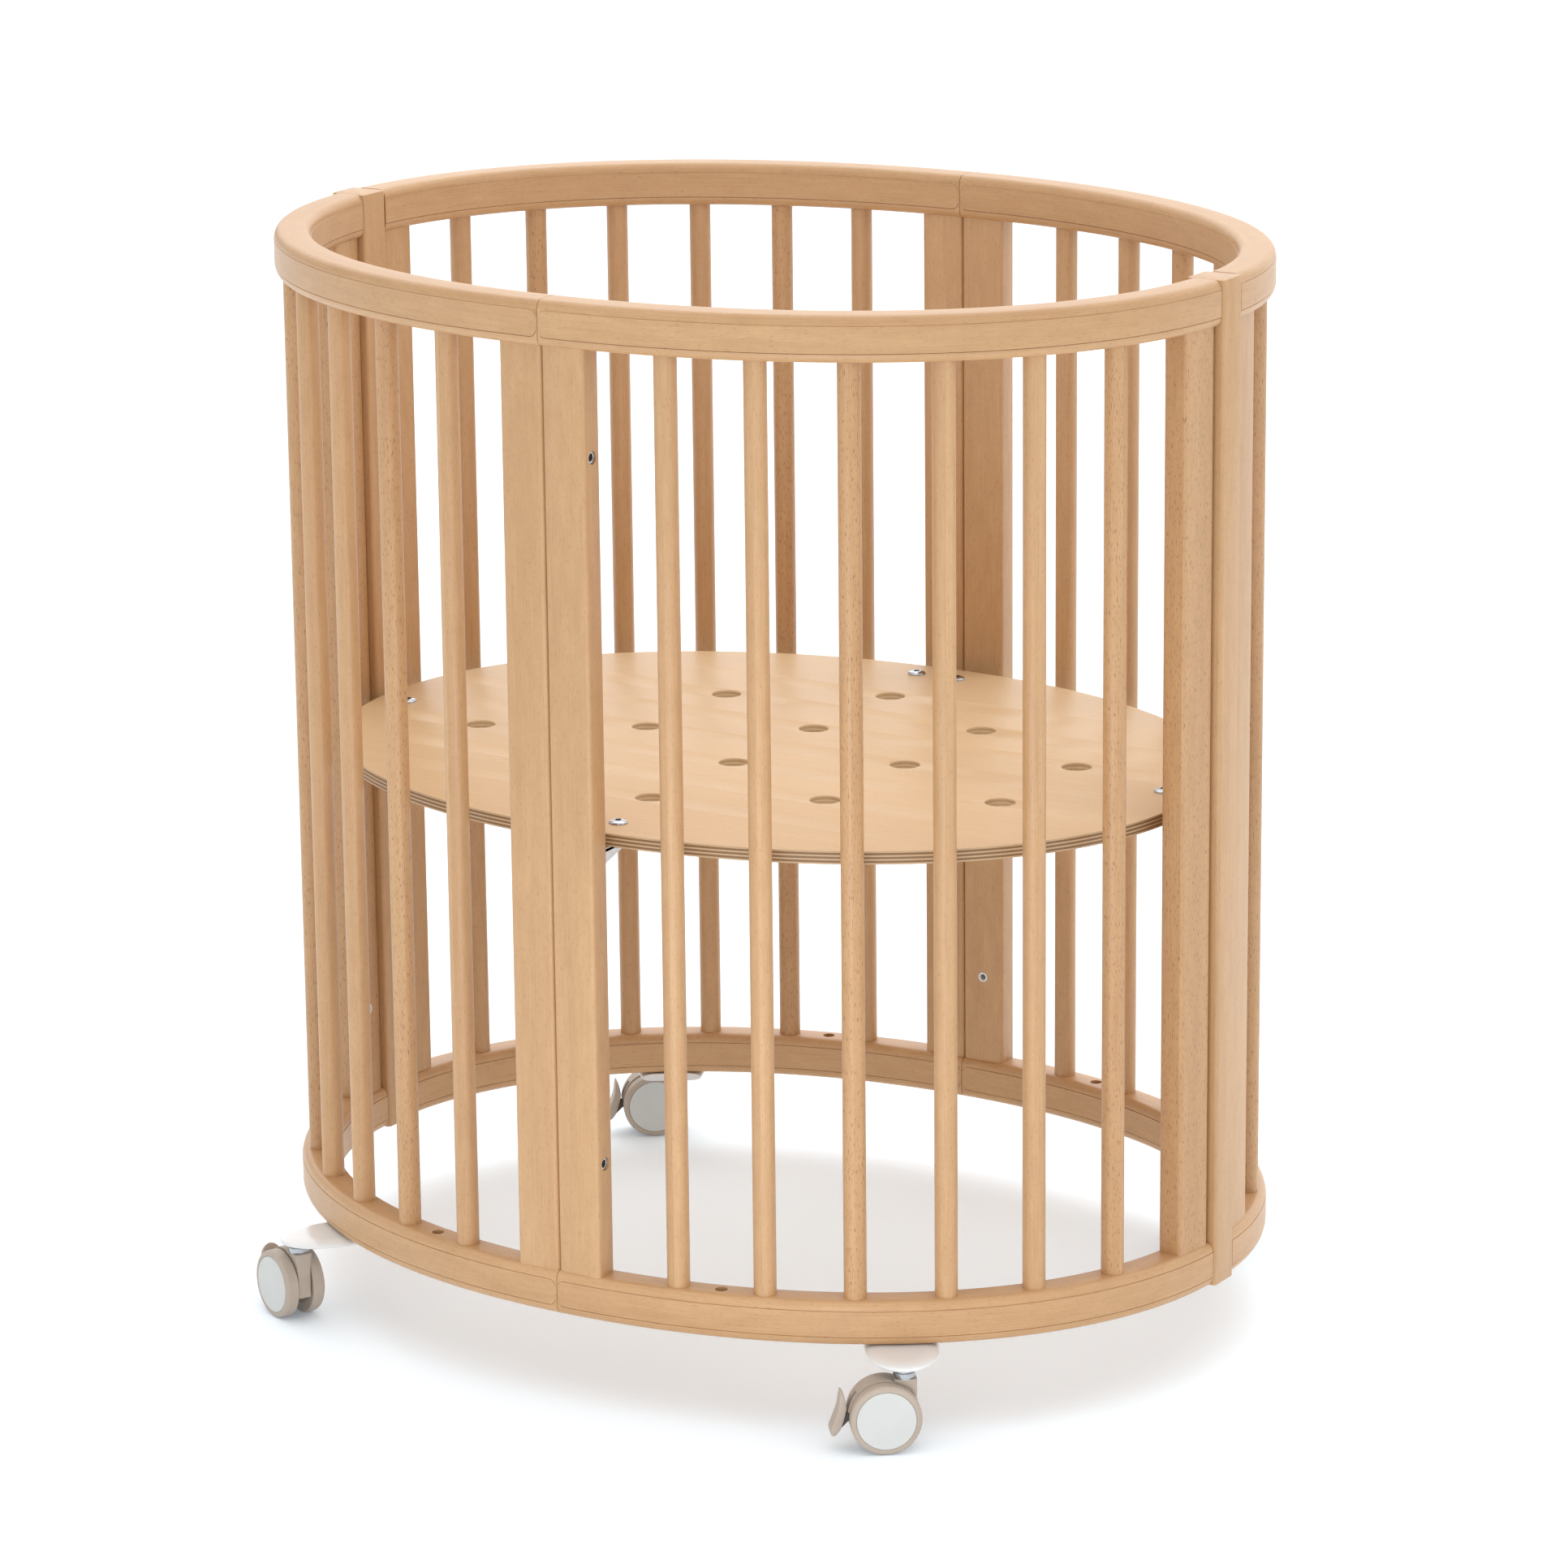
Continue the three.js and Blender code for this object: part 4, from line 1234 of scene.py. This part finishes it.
def make_floor():
    builder = bmesh.new()
    bmesh.ops.create_circle(builder, cap_ends=True, segments=96, radius=FLOOR_RADIUS)
    floor = to_object("floor", builder)
    material, shader = new_material("floor")
    shader.inputs["Base Color"].default_value = (0.87, 0.92, 0.95, 1)
    shader.inputs["Emission Color"].default_value = (0.62, 0.78, 1.0, 1)
    shader.inputs["Emission Strength"].default_value = 0.12
    shader.inputs["Roughness"].default_value = 0.9
    shader.inputs["Specular IOR Level"].default_value = 0.1
    floor.data.materials.append(material)


def make_world(horizon, zenith):
    """An even white surround, a little brighter overhead than at the horizon."""
    world = bpy.data.worlds.new("studio")
    world.use_nodes = True
    tree = world.node_tree
    coordinate = tree.nodes.new("ShaderNodeTexCoord")
    split = tree.nodes.new("ShaderNodeSeparateXYZ")
    strength = tree.nodes.new("ShaderNodeMapRange")
    strength.inputs["To Min"].default_value = horizon
    strength.inputs["To Max"].default_value = zenith
    tree.links.new(coordinate.outputs["Generated"], split.inputs["Vector"])
    tree.links.new(split.outputs["Z"], strength.inputs["Value"])
    background = tree.nodes["Background"]
    background.inputs["Color"].default_value = (1.0, 1.0, 1.0, 1)
    tree.links.new(strength.outputs["Result"], background.inputs["Strength"])
    bpy.context.scene.world = world


def make_soft_sun(name, azimuth, elevation, strength, spread):
    """A wide soft light, spread in degrees; azimuth 0 shines from the -Y side."""
    turn = math.radians(azimuth)
    rise = math.radians(elevation)
    back = Vector((math.sin(turn) * math.cos(rise), -math.cos(turn) * math.cos(rise), math.sin(rise)))
    light = bpy.data.lights.new(name, "SUN")
    light.energy = strength
    light.angle = math.radians(spread)
    thing = bpy.data.objects.new(name, light)
    thing.location = back * 4
    thing.rotation_euler = back.to_track_quat("Z", "Y").to_euler()
    bpy.context.scene.collection.objects.link(thing)


def make_low_softbox(name, azimuth, distance, height, size, power):
    """A softbox near the floor that brightens the lower part; azimuth 0 stands on the -Y side."""
    turn = math.radians(azimuth)
    light = bpy.data.lights.new(name, "AREA")
    light.shape = "SQUARE"
    light.size = size
    light.energy = power
    thing = bpy.data.objects.new(name, light)
    thing.location = (distance * math.sin(turn), -distance * math.cos(turn), height)
    thing.visible_camera = False
    back = thing.location - Vector((0, 0, 0.1))
    thing.rotation_euler = back.to_track_quat("Z", "Y").to_euler()
    bpy.context.scene.collection.objects.link(thing)


def make_camera():
    """The camera looks down a little on the front, from the right."""
    azimuth = math.radians(CAMERA_AZIMUTH)
    elevation = math.radians(CAMERA_ELEVATION)
    roll = math.radians(CAMERA_ROLL)
    target = Vector((*CAMERA_TARGET, RAIL_TOP - CAMERA_TARGET_DROP))
    back = Vector((math.sin(azimuth) * math.cos(elevation), -math.cos(azimuth) * math.cos(elevation),
                   math.sin(elevation)))
    right = (-back).cross(Vector((0, 0, 1))).normalized()
    up = right.cross(-back)
    rolled_right = right * math.cos(roll) + up * math.sin(roll)
    rolled_up = up * math.cos(roll) - right * math.sin(roll)
    lens = bpy.data.cameras.new("camera")
    lens.sensor_width = 36
    lens.lens = CAMERA_LENS
    lens.clip_end = 60
    camera = bpy.data.objects.new("camera", lens)
    turn = Matrix((rolled_right, rolled_up, back)).transposed()
    camera.matrix_world = Matrix.Translation(target + back * CAMERA_DISTANCE) @ turn.to_4x4()
    bpy.context.scene.collection.objects.link(camera)
    bpy.context.scene.camera = camera


make_camera()
make_world(horizon=0.52, zenith=1.45)
make_soft_sun("light_behind", azimuth=-165, elevation=38, strength=1.1, spread=90)
make_soft_sun("light_right", azimuth=95, elevation=20, strength=0.3, spread=40)
make_soft_sun("light_far", azimuth=-148, elevation=20, strength=0.3, spread=100)
make_low_softbox("light_low", azimuth=25, distance=1.15, height=0.1, size=0.5, power=3)
make_floor()
bpy.context.scene.view_settings.view_transform = "Standard"

for quarter in QUARTERS:
    make_rail(quarter, "top")
    make_rail(quarter, "bottom")
    make_posts(quarter)
    make_slats(quarter)
    make_base_fittings(quarter)
    make_caster(quarter)
make_strip("right", 1)
make_strip("left", -1)
make_board()
